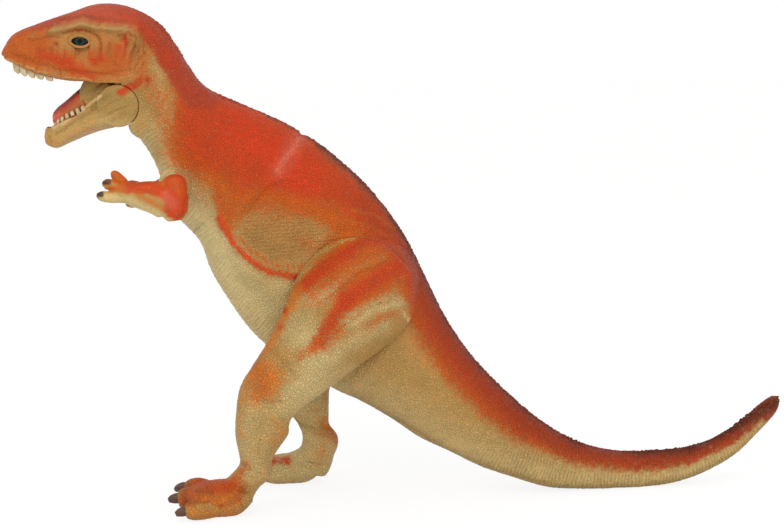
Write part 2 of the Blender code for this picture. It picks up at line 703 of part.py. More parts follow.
def build_lower_jaw(skin):
    """Build the lower jaw with its round rear end, cheek web and slot for the hinge's lug."""
    hinge = jaw_hinge()
    rows = flat_rows(JAW_SHARES)
    rings = [section(blend_rows(rows, place), JAW_REAR_HALF_WIDTH, 0.0, LIMB_SIDES + 2)
             for place in places_between(0, len(rows) - 1, LIMB_STEPS)]
    rear = round_section(hinge, Vector((1.0, 0.0, 0.0)), JAW_REAR_RADIUS * REAR_RING_SHARE,
                         JAW_REAR_HALF_WIDTH * REAR_RING_SHARE, LIMB_SIDES + 2)
    mesh = loft_mesh("lower_jaw", rings + [rear])
    piece = place_piece("lower_jaw", mesh, skin, hinge)
    profile = rounded_profile(JAW_REAR_RADIUS, JAW_REAR_HALF_WIDTH, JAW_REAR_BEVEL)
    change(piece, "UNION", guide("jaw_rear_disc", turned(hinge, profile)))
    floor = mouth_hollow(lower_lip, *JAW_FLOOR_STATIONS, MOUTH_DEPTH)
    change(piece, "DIFFERENCE", guide("mouth_floor", floor))
    web = sector(hinge, PIN_RADIUS, web_radius(), *WEB_ANGLES)
    change(piece, "UNION", guide("cheek_web", slab(web, -CHEEK_WEB_HALF_WIDTH, CHEEK_WEB_HALF_WIDTH)))
    width = HINGE_LUG_HALF_WIDTH + GAP
    reach = HINGE_LUG_RADIUS + GAP
    change(piece, "DIFFERENCE", guide("lug_slot", turned(hinge, [(reach, -width), (reach, width)])))
    fork = sector(hinge, PIN_RADIUS, JAW_REAR_RADIUS + OVERRUN, *FORK_ANGLES)
    change(piece, "DIFFERENCE", guide("fork_slot", slab(fork, -width, width)))
    change(piece, "DIFFERENCE", guide("ear_bore", pin_bore(hinge)))


def build_jaw_pin(plastic):
    """Build the pin that the jaw turns on."""
    hinge = jaw_hinge()
    profile = [(PIN_RADIUS, -PIN_HALF_LENGTH), (PIN_RADIUS, PIN_HALF_LENGTH)]
    place_piece("jaw_pin", loft_mesh("jaw_pin", turned(hinge, profile, LIMB_SIDES)), plastic, hinge)


def build_teeth(enamel):
    """Build the two moulded strips of teeth."""
    upper = gum_path(upper_lip, *UPPER_GUM_STATIONS, PALATE_DEPTH)
    lower = gum_path(lower_lip, *LOWER_GUM_STATIONS, MOUTH_DEPTH)
    rows = (
        ("upper_teeth", upper, UPPER_TOOTH_COUNT, UPPER_TOOTH_LENGTH, UPPER_TOOTH_LENGTH_SHARES),
        ("lower_teeth", lower, LOWER_TOOTH_COUNT, LOWER_TOOTH_LENGTH, LOWER_TOOTH_LENGTH_SHARES),
    )
    for name, path, count, length, length_shares in rows:
        piece = place_piece(name, loft_mesh(name, strip_rings(path)), enamel)
        for i, rings in enumerate(tooth_row(path, count, length, length_shares)):
            change(piece, "UNION", guide(f"{name}_{i + 1}", rings))


def build_tongue(flesh):
    """Build the tongue, which lies on the floor of the lower jaw."""
    rings = []
    for place, width_share, low_share, top_share in TONGUE_SHARES:
        middle, inward, half_width = lower_lip(place)
        room = half_width - LIP_WALL - GUM_CLEARANCE - GUM_WIDTH / 2.0 - TOOTH_RADIUS - GAP
        height = TONGUE_HEIGHT * (top_share - low_share)
        centre = middle + inward * (MOUTH_DEPTH - TONGUE_HEIGHT * low_share - height / 2.0)
        ring = round_section(centre, inward.cross(Vector((0.0, 1.0, 0.0))), height / 2.0,
                             room * width_share, SMALL_SIDES)
        rings.append(ring)
    place_piece("tongue", loft_mesh("tongue", rings), flesh)


def tapering_rings(points, sides):
    """Return the rings of a form along a path of points with radii upright and across."""
    rings = []
    for i, (point, radius_up, radius_across) in enumerate(points):
        following = points[min(i + 1, len(points) - 1)][0]
        forward = following - points[max(i - 1, 0)][0]
        rings.append(round_section(point, forward, radius_up, radius_across, sides))
    return rings


def arm_rings(table, side, drop, sides):
    """Return the rings of one form of an arm, turned down about the shoulder by an angle."""
    points = []
    for forward, up, out, up_share, across_share in table:
        ahead = forward * math.cos(drop) + up * math.sin(drop)
        above = up * math.cos(drop) - forward * math.sin(drop)
        across = SHOULDER_SEAT + ARM_RADIUS + out * ARM_LENGTH
        point = shoulder() + Vector((-ahead * ARM_LENGTH, side * across, above * ARM_LENGTH))
        points.append((point, up_share * ARM_RADIUS, across_share * ARM_RADIUS))
    return tapering_rings(points, sides)


def plug_rings(centre, side, seat, depth, neck, flange, thickness):
    """Return the rings of a snap plug: a neck through the wall and a flange behind it."""
    inner = seat - depth - GAP
    profile = [(neck, side * (seat + GAP + OVERRUN)), (neck, side * inner), (flange, side * inner),
               (flange, side * (inner - thickness))]
    return turned(centre, profile, LIMB_SIDES)


def build_arm(side, name, drop, skin):
    """Build one arm: upper arm, forearm, three fingers and the snap plug at the shoulder."""
    middle = shoulder()
    mesh = loft_mesh(name, arm_rings(ARM_SHARES, side, drop, LIMB_SIDES))
    piece = place_piece(name, mesh, skin, middle)
    forms = (
        ("forearm", FOREARM_SHARES, LIMB_SIDES),
        ("upper_finger", UPPER_FINGER_SHARES, SMALL_SIDES),
        ("middle_finger", MIDDLE_FINGER_SHARES, SMALL_SIDES),
        ("lower_finger", LOWER_FINGER_SHARES, SMALL_SIDES),
    )
    for form, table, sides in forms:
        change(piece, "UNION", guide(f"{name}_{form}", arm_rings(table, side, drop, sides)))
    reach = ARM_LENGTH + ARM_RADIUS
    trunk_side = [(reach, 0.0), (reach, side * (SHOULDER_SEAT + GAP))]
    change(piece, "DIFFERENCE", guide(f"{name}_inner_side", turned(middle, trunk_side)))
    plug = plug_rings(middle, side, SHOULDER_SEAT, SHOULDER_BOSS_DEPTH, SHOULDER_NECK_RADIUS,
                      SHOULDER_FLANGE_RADIUS, SHOULDER_FLANGE_THICKNESS)
    change(piece, "UNION", guide(f"{name}_plug", plug))


def foot_rings(heel, stance, height):
    """Return the rings of a foot from its heel to its ball."""
    rings = []
    for along, top, low, width in FOOT_SHARES:
        centre = Vector((heel - along * FOOT_LENGTH, stance, (top + low) / 2.0 * height))
        rings.append(round_section(centre, Vector((-1.0, 0.0, 0.0)), (top - low) / 2.0 * height,
                                   width * FOOT_HALF_WIDTH, LIMB_SIDES))
    return rings


def toe_rings(table, heel, side, stance, height):
    """Return the rings of a toe with its claw."""
    points = []
    for along, up, out, radius in table:
        across = stance + side * out * FOOT_HALF_WIDTH
        points.append((Vector((heel - along * FOOT_LENGTH, across, up * height)),
                       radius * TOE_RADIUS, radius * TOE_RADIUS))
    return tapering_rings(points, SMALL_SIDES)


def build_leg(side, name, table, places, skin):
    """Build one leg: thigh, shin, foot, three toes with claws and the snap plug at the hip."""
    middle = hip()
    rows = flat_rows(table)
    rings = [section(blend_rows(rows, place), LEG_HALF_WIDTH, STANCE_HALF_WIDTH, LIMB_SIDES, 0.0, side)
             for place in places_between(0, len(rows) - 1, LIMB_STEPS)]
    piece = place_piece(name, loft_mesh(name, rings), skin, middle)
    heel_share, height_share, stance_share = places
    heel = heel_share * FIGURE_LENGTH
    height = height_share * FOOT_HEIGHT
    stance = side * stance_share * STANCE_HALF_WIDTH
    change(piece, "UNION", guide(f"{name}_foot", foot_rings(heel, stance, height)))
    toes = (("inner", INNER_TOE_SHARES), ("middle", MIDDLE_TOE_SHARES), ("outer", OUTER_TOE_SHARES))
    for toe, shares in toes:
        change(piece, "UNION", guide(f"{name}_{toe}_toe", toe_rings(shares, heel, side, stance, height)))
    seat = HIP_SEAT + GAP
    trunk_side = [(LEG_SWING_RADIUS, 0.0), (LEG_SWING_RADIUS, side * (seat + HIP_SEAT_RISE)),
                  (HIP_SEAT_RADIUS, side * seat)]
    change(piece, "DIFFERENCE", guide(f"{name}_inner_side", turned(middle, trunk_side)))
    plug = plug_rings(middle, side, HIP_SEAT, HIP_BOSS_DEPTH, HIP_NECK_RADIUS, HIP_FLANGE_RADIUS,
                      HIP_FLANGE_THICKNESS)
    change(piece, "UNION", guide(f"{name}_plug", plug))
    carve_ground(piece, f"ground_under_{name}")


def main():
    """Clear the scene and build every piece of the figure."""
    for item in list(bpy.data.objects):
        bpy.data.objects.remove(item, do_unlink=True)
    skin = finish("painted soft vinyl", (0.62, 0.20, 0.07), 0.5)
    limb_skin = finish("painted limb vinyl", (0.60, 0.40, 0.20), 0.5)
    enamel = finish("cream teeth", (0.80, 0.74, 0.58), 0.35)
    flesh = finish("pink tongue", (0.55, 0.16, 0.13), 0.4)
    glass = finish("dark green eye", (0.02, 0.05, 0.035), 0.1)
    plastic = finish("hinge pin plastic", (0.30, 0.30, 0.30), 0.4)
    build_rear_body(skin)
    build_front_body(skin)
    build_lower_jaw(skin)
    build_jaw_pin(plastic)
    build_teeth(enamel)
    build_tongue(flesh)
    build_eyes(glass)
    build_arm(-1.0, "left_arm", 0.0, limb_skin)
    build_arm(1.0, "right_arm", RIGHT_ARM_DROP, limb_skin)
    left_foot = (LEFT_HEEL_SHARE, LEFT_FOOT_HEIGHT_SHARE, LEFT_STANCE_SHARE)
    right_foot = (RIGHT_HEEL_SHARE, RIGHT_FOOT_HEIGHT_SHARE, RIGHT_STANCE_SHARE)
    build_leg(-1.0, "left_leg", LEFT_LEG_SHARES, left_foot, limb_skin)
    build_leg(1.0, "right_leg", RIGHT_LEG_SHARES, right_foot, limb_skin)


main()
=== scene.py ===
"""Looks of a toy theropod dinosaur in painted soft vinyl, over its built part.

The head points along -X, the tail along +X and the figure's left side along -Y. Each skin is a row of
stations lofted finely, then carved and embossed by strokes drawn over the side view, and painted the way
such figures are: a cream and tan base coat with a speckled red and orange airbrush coat over it. A stroke's
path is a row of pixels of the photograph, each its place to the right and then down.
"""

import itertools
import logging
import math
from collections.abc import Callable
from dataclasses import dataclass, field
from enum import Enum
from functools import cached_property

import bpy
import numpy as np
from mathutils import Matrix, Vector


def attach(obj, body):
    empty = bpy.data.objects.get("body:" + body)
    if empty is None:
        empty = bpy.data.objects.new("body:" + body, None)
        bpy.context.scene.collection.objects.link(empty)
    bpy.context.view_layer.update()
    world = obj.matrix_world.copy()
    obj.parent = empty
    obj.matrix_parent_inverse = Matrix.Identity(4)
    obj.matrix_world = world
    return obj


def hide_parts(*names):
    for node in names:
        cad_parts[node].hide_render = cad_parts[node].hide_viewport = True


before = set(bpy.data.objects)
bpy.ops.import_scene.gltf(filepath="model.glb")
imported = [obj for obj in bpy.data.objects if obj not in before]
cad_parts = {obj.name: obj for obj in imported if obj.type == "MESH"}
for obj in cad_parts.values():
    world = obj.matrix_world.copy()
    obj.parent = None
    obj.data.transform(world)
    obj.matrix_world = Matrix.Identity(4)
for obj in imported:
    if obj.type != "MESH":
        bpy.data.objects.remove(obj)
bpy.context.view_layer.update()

log = logging.getLogger("theropod")

MM = 0.001
CREST_SHARE = 0.30
BACK_SQUARENESS = 2.3
SEAT_OFFSET = 0.0180

Spot = tuple[float, float]
Path = tuple[float, ...]
Row = tuple[float, ...]
Array = np.ndarray
Share = Array | float
Lip = tuple[Array, Array, float, float]
Mesh = bpy.types.Mesh
Piece = bpy.types.Object
Node = bpy.types.Node
Socket = bpy.types.NodeSocket
Material = bpy.types.Material


# Sizes shared by the pieces


@dataclass(frozen=True)
class Figure:
    """Sizes of the whole figure in metres, and the places its joints stand at."""

    length: float = 0.300
    height: float = 0.188
    body_half_width: float = 0.0220
    tail_sway: float = 0.026
    hinge: Row = (-0.1053, 0.0, 0.15096)
    shoulder: Row = (-0.0834, 0.0, 0.1220)
    hip: Row = (-0.01695, 0.0, 0.08216)

    @property
    def side(self) -> Array:
        """Return the length and height that shares in the side view count from."""
        return np.array([self.length, self.height])


@dataclass(frozen=True)
class PhotoView:
    """The view that the figure is painted from: a camera's place and lens, and pixels of its picture."""

    place: Row = (-0.0043, -0.700, 0.200)
    pitch: float = math.radians(8.91)
    focal: float = 1868.0
    middle: Spot = (392.0, 264.0)
    width: int = 784

    def spots(self, points: Array, fold: Share | None = 0.0) -> Array:
        """Find where points stand in the picture.

        Args:
            points: Points in metres, one to a row.
            fold: Middle across the figure that the far side is folded over, or None to leave it.

        Returns:
            One pixel to a row.
        """
        away = points - np.array(self.place)
        if fold is not None:
            away[:, 1] = fold - np.abs(points[:, 1] - fold) - self.place[1]
        depth = away[:, 1] * math.cos(self.pitch) - away[:, 2] * math.sin(self.pitch)
        rise = away[:, 1] * math.sin(self.pitch) + away[:, 2] * math.cos(self.pitch)
        return np.stack([self.middle[0] + self.focal * away[:, 0] / depth,
                         self.middle[1] - self.focal * rise / depth], axis=1)

    def points(self, spots: Array, across: float) -> Array:
        """Find the points of the figure that show at pixels.

        Args:
            spots: Pixels of the picture, one to a row.
            across: Distance across the figure at which the points stand.

        Returns:
            One point in metres to a row.
        """
        right, rise = (spots[:, 0] - self.middle[0]) / self.focal, (self.middle[1] - spots[:, 1]) / self.focal
        reach = (across - self.place[1]) / (math.cos(self.pitch) + rise * math.sin(self.pitch))
        up = rise * math.cos(self.pitch) - math.sin(self.pitch)
        return np.stack([self.place[0] + right * reach, np.full(len(spots), across),
                         self.place[2] + up * reach], axis=1)


FIGURE = Figure()
VIEW = PhotoView()


# Paints and strokes


class Tone(Enum):
    """Paints of the figure, as they look in plain daylight from 0 to 255."""

    BASE_TAN = (183, 146, 84)
    CREAM = (206, 186, 130)
    CHEST_CREAM = (204, 188, 134)
    # OLIVE serves partly as painted shade, in folds and under the brow and the upper lip.
    OLIVE = (146, 122, 66)
    DULL_TAN = (184, 124, 66)
    LIP = (206, 140, 78)
    ORANGE = (196, 90, 24)
    AMBER = (208, 118, 42)
    RED = (194, 60, 20)
    BRIGHT_RED = (212, 56, 24)
    FLANK_RED = (216, 76, 28)
    # PINK tints the tongue and the arm, and is also laid as painted highlight on the back and the skull.
    PINK = (222, 112, 90)
    MAROON = (104, 40, 34)
    TAIL_RED = (148, 47, 18)
    TAIL_MID = (172, 60, 22)
    TAIL_BROWN = (98, 38, 24)
    SNOUT_ORANGE = (190, 90, 32)
    SKULL_RED = (174, 62, 36)
    BROWN = (104, 62, 30)
    # CREASE is dark paint laid as painted shade in folds and creases.
    CREASE = (128, 66, 32)
    CLAW = (74, 46, 32)
    MOUTH = (172, 66, 52)
    MOUTH_DARK = (92, 34, 28)
    TEETH = (208, 190, 148)
    GUM = (176, 152, 106)
    # PALE is also laid as painted highlight on the brow, the arm and a knob at the thigh's rear.
    PALE = (220, 190, 132)

    @property
    def linear(self) -> Array:
        """Return the paint in the linear numbers that a shader takes."""
        shares = np.array(self.value) / 255.0
        return np.where(shares <= 0.04045, shares / 12.92, ((shares + 0.055) / 1.055) ** 2.4)


def smooth(share: Array) -> Array:
    """Return a soft step from 0 to 1 as a share goes from 0 to 1."""
    held = np.clip(share, 0.0, 1.0)
    return held * held * (3.0 - 2.0 * held)


def ripple(points: Array, pitch: float, seed: float) -> Array:
    """Return a soft random value from about -1 to 1 for each point, with lumps of a pitch.

    Args:
        points: Points or pixels, one to a row.
        pitch: Size of the lumps.
        seed: Number that sets this ripple apart from others.

    Returns:
        A value for each point.
    """
    total = np.zeros(len(points))
    turn = math.tau / pitch
    for step in range(5):
        angle = seed + 2.4 * step
        way = np.array([math.cos(angle), math.sin(angle * 1.7), math.sin(angle * 0.9 + 1.0)])[: points.shape[1]]
        total += np.sin(points @ (way * turn * (0.7 + 0.17 * step)) + seed * (step + 1))
    return total / 3.0


@dataclass(frozen=True)
class Mark:
    """A line or a closed patch drawn over the side view."""

    path: Path
    reach: float = 3.0
    soft: float = 3.0
    closed: bool = False

    def distance(self, spots: Array) -> Array:
        """Return how far each pixel is from the line, or from the patch's edge and below zero inside it.

        Args:
            spots: Pixels, one to a row.

        Returns:
            A distance in pixels for each.
        """
        path = list(zip(self.path[::2], self.path[1::2]))
        if self.closed or len(path) == 1:
            path.append(path[0])
        nearest = np.full(len(spots), 1e9)
        inside = np.zeros(len(spots), bool)
        for start, end in zip(path, path[1:]):
            first = np.array(start, float)
            along = np.array(end, float) - first
            share = np.clip(((spots - first) @ along) / max(float(along @ along), 1e-9), 0.0, 1.0)
            nearest = np.minimum(nearest, np.linalg.norm(spots - first - share[:, None] * along, axis=1))
            if self.closed and start[1] != end[1]:
                crossing = (spots[:, 1] < start[1]) != (spots[:, 1] < end[1])
                at = start[0] + (spots[:, 1] - start[1]) / (end[1] - start[1]) * along[0]
                inside ^= crossing & (spots[:, 0] < at)
        return np.where(inside, -nearest, nearest)

    def cover(self, spots: Array) -> Array:
        """Return the share of cover, from 0 to 1, that the mark gives each pixel."""
        reach = 0.0 if self.closed else self.reach
        return 1.0 - smooth((self.distance(spots) - reach + self.soft) / (2.0 * self.soft))


@dataclass(frozen=True)
class Spray:
    """Paint laid along a mark, or paint wiped off where it has no tone."""

    mark: Mark
    tone: Tone | None
    strength: float = 1.0


@dataclass(frozen=True)
class Ridge:
    """A raised line of skin along a path, or a fold where its height in millimetres is below zero."""

    path: Path
    reach: float
    height: float
    crown: bool = False


def line(path: Path, reach: float, tone: Tone | None, strength: float = 1.0, soft: float = 3.0) -> Spray:
    """Return paint along a line."""
    return Spray(Mark(path, reach, soft), tone, strength)


def patch(path: Path, tone: Tone | None, strength: float = 1.0, soft: float = 5.0) -> Spray:
    """Return paint over a closed patch."""
    return Spray(Mark(path, 0.0, soft, True), tone, strength)


def creased(ridges: tuple[Ridge, ...], strength: float) -> tuple[Spray, ...]:
    """Return strokes of painted shade, dark paint along the creases among ridges."""
    return tuple(line(ridge.path, ridge.reach * 0.35, Tone.CREASE, strength, 1.1) for ridge in ridges
                 if ridge.height < 0.0)


def near(path: Path, spots: Array, reach: float, soft: float) -> Array:
    """Return a share that falls softly from 1 at a line to 0 at a reach from it."""
    return smooth((reach - Mark(path).distance(spots)) / soft)


# Finishes


class NodeBoard:
    """The nodes of a material or of the world, added and joined by name."""

    def __init__(self, owner: bpy.types.ID) -> None:
        """Take up the nodes of a material or world.

        Args:
            owner: The material or world.
        """
        owner.use_nodes = True
        self.owner, self.tree = owner, owner.node_tree
        self.shader = self.tree.nodes.get("Principled BSDF")

    @cached_property
    def place(self) -> Socket:
        """Return the piece's own coordinates."""
        return self.add("ShaderNodeTexCoord").outputs["Object"]

    def add(self, kind: str, values: dict | None = None, **settings: object) -> Node:
        """Add a node.

        Args:
            kind: Blender's name of the node.
            values: What its sockets take, as feed has it.
            settings: Its own settings.

        Returns:
            The node.
        """
        node = self.tree.nodes.new(kind)
        for key, value in settings.items():
            setattr(node, key, value)
        self.feed(node, values or {})
        return node

    def feed(self, node: Node, values: dict) -> None:
        """Set a node's sockets, by name or number, to numbers or join them to other sockets.

        Args:
            node: The node.
            values: What each socket takes.
        """
        for key, value in values.items():
            socket = node.inputs[key]
            if isinstance(value, Socket):
                self.tree.links.new(value, socket)
            else:
                socket.default_value = (*value, 1.0) if socket.type == "RGBA" else value

    def noise(self, scale: float, detail: float, roughness: float = 0.5, out: str = "Fac") -> Socket:
        """Return a cloudy texture over the piece."""
        return self.add("ShaderNodeTexNoise", {"Vector": self.place, "Scale": scale, "Detail": detail,
                                               "Roughness": roughness}).outputs[out]

    def sum_of(self, operation: str, *values: object) -> Socket:
        """Return the result of a sum on sockets or numbers."""
        return self.add("ShaderNodeMath", dict(enumerate(values)), operation=operation).outputs[0]

    def fit(self, value: object, share: object, shift: object = 0.0) -> Socket:
        """Return a value times a share, plus a shift."""
        return self.sum_of("MULTIPLY_ADD", value, share, shift)

    def ramp(self, value: object, low: float, high: float, start: float = 0.0,
             end: float = 1.0) -> Socket:
        """Return a soft step of a value between two of its levels."""
        return self.add("ShaderNodeMapRange", {0: value, 1: low, 2: high, 3: start, 4: end},
                        interpolation_type="SMOOTHSTEP").outputs[0]

    def mixed(self, share: object, first: object, second: object, way: str = "MIX") -> Socket:
        """Return the mix of two colours, which are sockets or linear numbers."""
        return self.add("ShaderNodeMix", {0: share, 6: first, 7: second}, data_type="RGBA",
                        blend_type=way).outputs[2]

    def bump(self, height: object, strength: float, depth: float) -> Socket:
        """Return the way out of a surface raised by a texture, to a depth in millimetres."""
        return self.add("ShaderNodeBump", {"Height": height, "Strength": strength,
                                           "Distance": depth * MM}).outputs[0]

    def seen(self) -> Socket:
        """Return 1 for rays that the camera sees, straight or by gloss or glass, and 0 for light."""
        rays = self.add("ShaderNodeLightPath").outputs
        return self.sum_of("MAXIMUM", self.sum_of("MAXIMUM", rays["Is Camera Ray"], rays["Is Glossy Ray"]),
                           rays["Is Transmission Ray"])

    def blended(self, share: object, first: object, second: object) -> Socket:
        """Return the blend of two shaders."""
        return self.add("ShaderNodeMixShader", {0: share, 1: first, 2: second}).outputs[0]


@dataclass(frozen=True)
class PaintedVinyl:
    """Soft vinyl with small raised scales, a base coat, a speckled airbrush coat and painted shade in grooves and
    folds.
    """

    name: str
    scale_pitch: float = 0.95
    roughness: float = 0.52
    relief: float = 0.27
    groove_shade_strength: float = 0.50
    fold_pitch: float = 1.35
    specular: float = 0.16
    # Tints multiplied into the colour as painted shade in the scale grooves and the skin's folds.
    groove_shade_tint: Row = (0.56, 0.42, 0.30)
    fold_shade_tint: Row = (0.62, 0.48, 0.34)
    thin_coat: Row = (1.10, 1.60, 1.35)

    def make(self) -> Material:
        """Return the material, which reads the coats that were laid on the skin."""
        board = NodeBoard(bpy.data.materials.new(self.name))
        shift = board.add("ShaderNodeVectorMath", {0: board.noise(420.0, 1.0, out="Color"), "Scale": 0.0006},
                          operation="SCALE").outputs[0]
        bent = board.add("ShaderNodeVectorMath", {0: board.place, 1: shift}, operation="ADD").outputs[0]
        size = 1.0 / (self.scale_pitch * MM)
        edge, cell = (board.add("ShaderNodeTexVoronoi", {"Vector": bent, "Scale": size}, feature=feature).outputs
                      for feature in ("DISTANCE_TO_EDGE", "F1"))
        luck = board.add("ShaderNodeSeparateColor", {0: cell["Color"]}).outputs[0]
        grain, cloud, blotch = (board.noise(*sizes) for sizes in (
            (1900.0, 2.0, 0.7), (160.0, 3.0, 0.6), (640.0, 2.0, 0.65)))
        base, top, cover, relief, arc = (board.add("ShaderNodeAttribute", attribute_name=name).outputs
                                         for name in ("BaseCoat", "TopCoat", "Cover", "Relief", "Arc"))
        scales, wrinkles, gloss = board.add("ShaderNodeSeparateColor", {0: relief["Color"]}).outputs
        groove = board.fit(board.ramp(edge["Distance"], 0.0, 0.18, 1.0, 0.0), scales)
        wave = board.fit(arc["Fac"], math.tau / self.fold_pitch, board.fit(cloud, 13.0))
        crease = board.fit(board.ramp(board.sum_of("SINE", wave), -0.2, 0.9),
                           board.fit(wrinkles, board.ramp(blotch, 0.36, 0.56, 0.25, 1.0)))
        spread = board.fit(luck, 0.20)
        for texture, share in ((grain, 1.25), (blotch, 0.95), (cloud, 0.5), (crease, -0.25)):
            spread = board.fit(texture, share, spread)
        covered = board.ramp(board.fit(spread, 0.90, board.fit(cover["Fac"], 1.0, -1.28)), 0.0, 1.0)
        thinned = board.mixed(board.ramp(blotch, 0.42, 0.70, 0.0, 0.42), top["Color"], self.thin_coat, "MULTIPLY")
        colour = board.mixed(covered, base["Color"], thinned)
        # Painted shade: the grooves between the scales and the folds of the skin are darkened.
        colour = board.mixed(board.fit(groove, self.groove_shade_strength), colour, self.groove_shade_tint, "MULTIPLY")
        colour = board.mixed(board.fit(crease, 0.45), colour, self.fold_shade_tint, "MULTIPLY")
        bright = board.fit(luck, 0.12, board.fit(cloud, 0.40, board.fit(grain, 0.44, 0.52)))
        level = board.add("ShaderNodeCombineColor", {0: bright, 1: bright, 2: bright}).outputs[0]
        height = board.fit(board.ramp(edge["Distance"], 0.0, 0.34), scales, board.fit(grain, 0.30))
        board.feed(board.shader, {
            "Base Color": board.mixed(1.0, colour, level, "MULTIPLY"),
            "Normal": board.bump(board.fit(crease, -1.1, height), 0.9, self.relief),
            "Roughness": board.fit(gloss, -0.22, board.fit(cloud, 0.16, self.roughness - 0.08)),
            "Specular IOR Level": self.specular})
        return board.owner


@dataclass(frozen=True)
class MouldedPlastic:
    """Plain moulded plastic with a cloudy tint and fine grain."""

    name: str
    tone: Tone
    stain: Tone
    roughness: float = 0.35
    grain: float = 0.03

    def make(self) -> Material:
        """Return the material."""
        board = NodeBoard(bpy.data.materials.new(self.name))
        cloud = board.noise(420.0, 4.0, 0.65)
        board.feed(board.shader, {
            "Base Color": board.mixed(board.ramp(cloud, 0.38, 0.72), self.tone.linear, self.stain.linear),
            "Normal": board.bump(cloud, 0.5, self.grain),
            "Roughness": board.fit(cloud, 0.2, self.roughness - 0.1)})
        return board.owner


@dataclass(frozen=True)
class CoatedBead:
    """A painted bead under clear gloss, with its paint laid on its points."""

    name: str
    roughness: float = 0.12
    specular: float = 0.12
    coat: float = 0.08
    fleck: Row = (0.35, 0.45, 0.40)

    def make(self) -> Material:
        """Return the material."""
        board = NodeBoard(bpy.data.materials.new(self.name))
        paint = board.add("ShaderNodeAttribute", attribute_name="BaseCoat").outputs["Color"]
        flecks = board.fit(board.ramp(board.noise(1500.0, 2.0), 0.4, 0.7), 0.35)
        board.feed(board.shader, {
            "Base Color": board.mixed(flecks, paint, self.fleck, "MULTIPLY"), "Roughness": self.roughness,
            "Specular IOR Level": self.specular, "Coat Weight": self.coat, "Coat Roughness": self.coat})
        return board.owner


# Forms


def rows_at(table: tuple[Row, ...], places: Array) -> Array:
    """Find the smooth mix of a table's rows at places along it.

    Args:
        table: Rows of numbers, one station to a row.
        places: Places along the table, counted in rows.

    Returns:
        One row of numbers for each place.
    """
    rows = np.array(table, float)
    last = len(rows) - 1
    index = np.clip(places.astype(int), 0, last - 1)
    share = (places - index)[:, None]
    before, start, end, after = (rows[np.clip(index + step, 0, last)] for step in (-1, 0, 1, 2))
    return (before * (-0.5 * share + share ** 2 - 0.5 * share ** 3)
            + start * (1.0 - 2.5 * share ** 2 + 1.5 * share ** 3)
            + end * (0.5 * share + 2.0 * share ** 2 - 1.5 * share ** 3)
            + after * (-0.5 * share ** 2 + 0.5 * share ** 3))


def unit(ways: Array) -> Array:
    """Return ways scaled to a length of 1."""
    return ways / np.linalg.norm(ways, axis=-1, keepdims=True)


def apart(points: Array, centre: Row) -> Array:
    """Return how far points stand from an axis across the figure."""
    return np.hypot(points[..., 0] - centre[0], points[..., 2] - centre[2])


def bowed(values: Array, power: Share) -> Array:
    """Return values raised to a power, with their signs kept."""
    return np.sign(values) * np.abs(values) ** power


def round_of(sides: int, power: float = 1.0) -> tuple[Array, Array]:
    """Return how far points round a ring stand ahead and aside, nearer a box where the power is below 1."""
    turn = np.linspace(0.0, math.tau, sides, endpoint=False)
    return bowed(np.cos(turn), power), bowed(np.sin(turn), power)


def sections(rows: Array, width: float, sway: float, sides: int, side: float = 1.0) -> Array:
    """Draw the closed ring of points of each row of a table of stations.

    Args:
        rows: Upper point, lower point, half width, middle across and squareness below, as shares.
        width: Half width that the shares count from, in metres.
        sway: Middle across that the shares count from, in metres.
        sides: Points in a ring.
        side: The side of the figure, -1 for the left and 1 for the right.

    Returns:
        Rings, points and coordinates.
    """
    top, low = rows[:, 0:2] * FIGURE.side, rows[:, 2:4] * FIGURE.side
    middle, up = (top + low) / 2.0, (top - low) / 2.0
    angle = math.tau * np.arange(sides) / sides
    angle -= CREST_SHARE * np.sin(angle)
    cosine, sine = np.cos(angle)[None, :], np.sin(angle)[None, :]
    power = 2.0 / np.where(cosine < 0.0, rows[:, 6:7], BACK_SQUARENESS)
    rise, out = bowed(cosine, power), bowed(sine, power)
    across = side * rows[:, 5:6] * sway + rows[:, 4:5] * width * out
    return np.stack([middle[:, :1] + up[:, :1] * rise, across, middle[:, 1:] + up[:, 1:] * rise], axis=2)


def tube(points: list[Row], sides: int, steps: int = 6) -> Array:
    """Draw the rings of a tapering form along a path.

    Args:
        points: Place, upright radius and radius across of each point, in metres.
        sides: Points in a ring.
        steps: Rings from one point to the next.

    Returns:
        Rings, points and coordinates.
    """
    rows = rows_at(points, np.linspace(0.0, len(points) - 1.0, (len(points) - 1) * steps + 1))
    ahead = unit(np.gradient(rows[:, :3], axis=0))
    across = unit(np.array([0.0, 1.0, 0.0]) - ahead * ahead[:, 1:2])
    rise, out = (part[None, :, None] for part in round_of(sides))
    return (rows[:, None, :3] + np.cross(across, ahead)[:, None] * rise * np.abs(rows[:, None, 3:4])
            + across[:, None] * out * np.abs(rows[:, None, 4:5]))


def turned(centre: Row, profile: list[Spot], sides: int = 64) -> Array:
    """Draw a form turned about an axis across the figure.

    Args:
        centre: A point of the axis.
        profile: Radius and place across of each ring.
        sides: Points in a ring.

    Returns:
        Rings, points and coordinates.
    """
    angle = math.tau * (np.arange(sides) + 0.5) / sides
    return np.array([np.stack([centre[0] + radius * np.cos(angle), np.full(sides, across),
                               centre[2] + radius * np.sin(angle)], axis=1) for radius, across in profile])


def drum(centre: Row, radius: float, half: float, sides: int = 64) -> Array:
    """Return the rings of a plain round form across the figure."""
    return turned(centre, [(radius, -half), (radius, half)], sides)


def slab(outline: Array, half: float) -> Array:
    """Return the rings of an outline in the side view, as thick as twice a half width."""
    return np.array([np.insert(outline, 1, across, axis=1) for across in (-half, half)])


def sector(centre: Row, inner: float, outer: float, start: float, end: float) -> Array:
    """Draw the side outline of a ring sector.

    Args:
        centre: Its centre.
        inner: Its inner radius.
        outer: Its outer radius.
        start: Angle it starts at, in degrees.
        end: Angle it ends at, in degrees.

    Returns:
        Points of the outline, ahead and up.
    """
    angle = np.radians(np.linspace(start, end, 24))
    return np.concatenate([np.stack([centre[0] + radius * np.cos(turn), centre[2] + radius * np.sin(turn)], axis=1)
                           for radius, turn in ((outer, angle), (inner, angle[::-1]))])


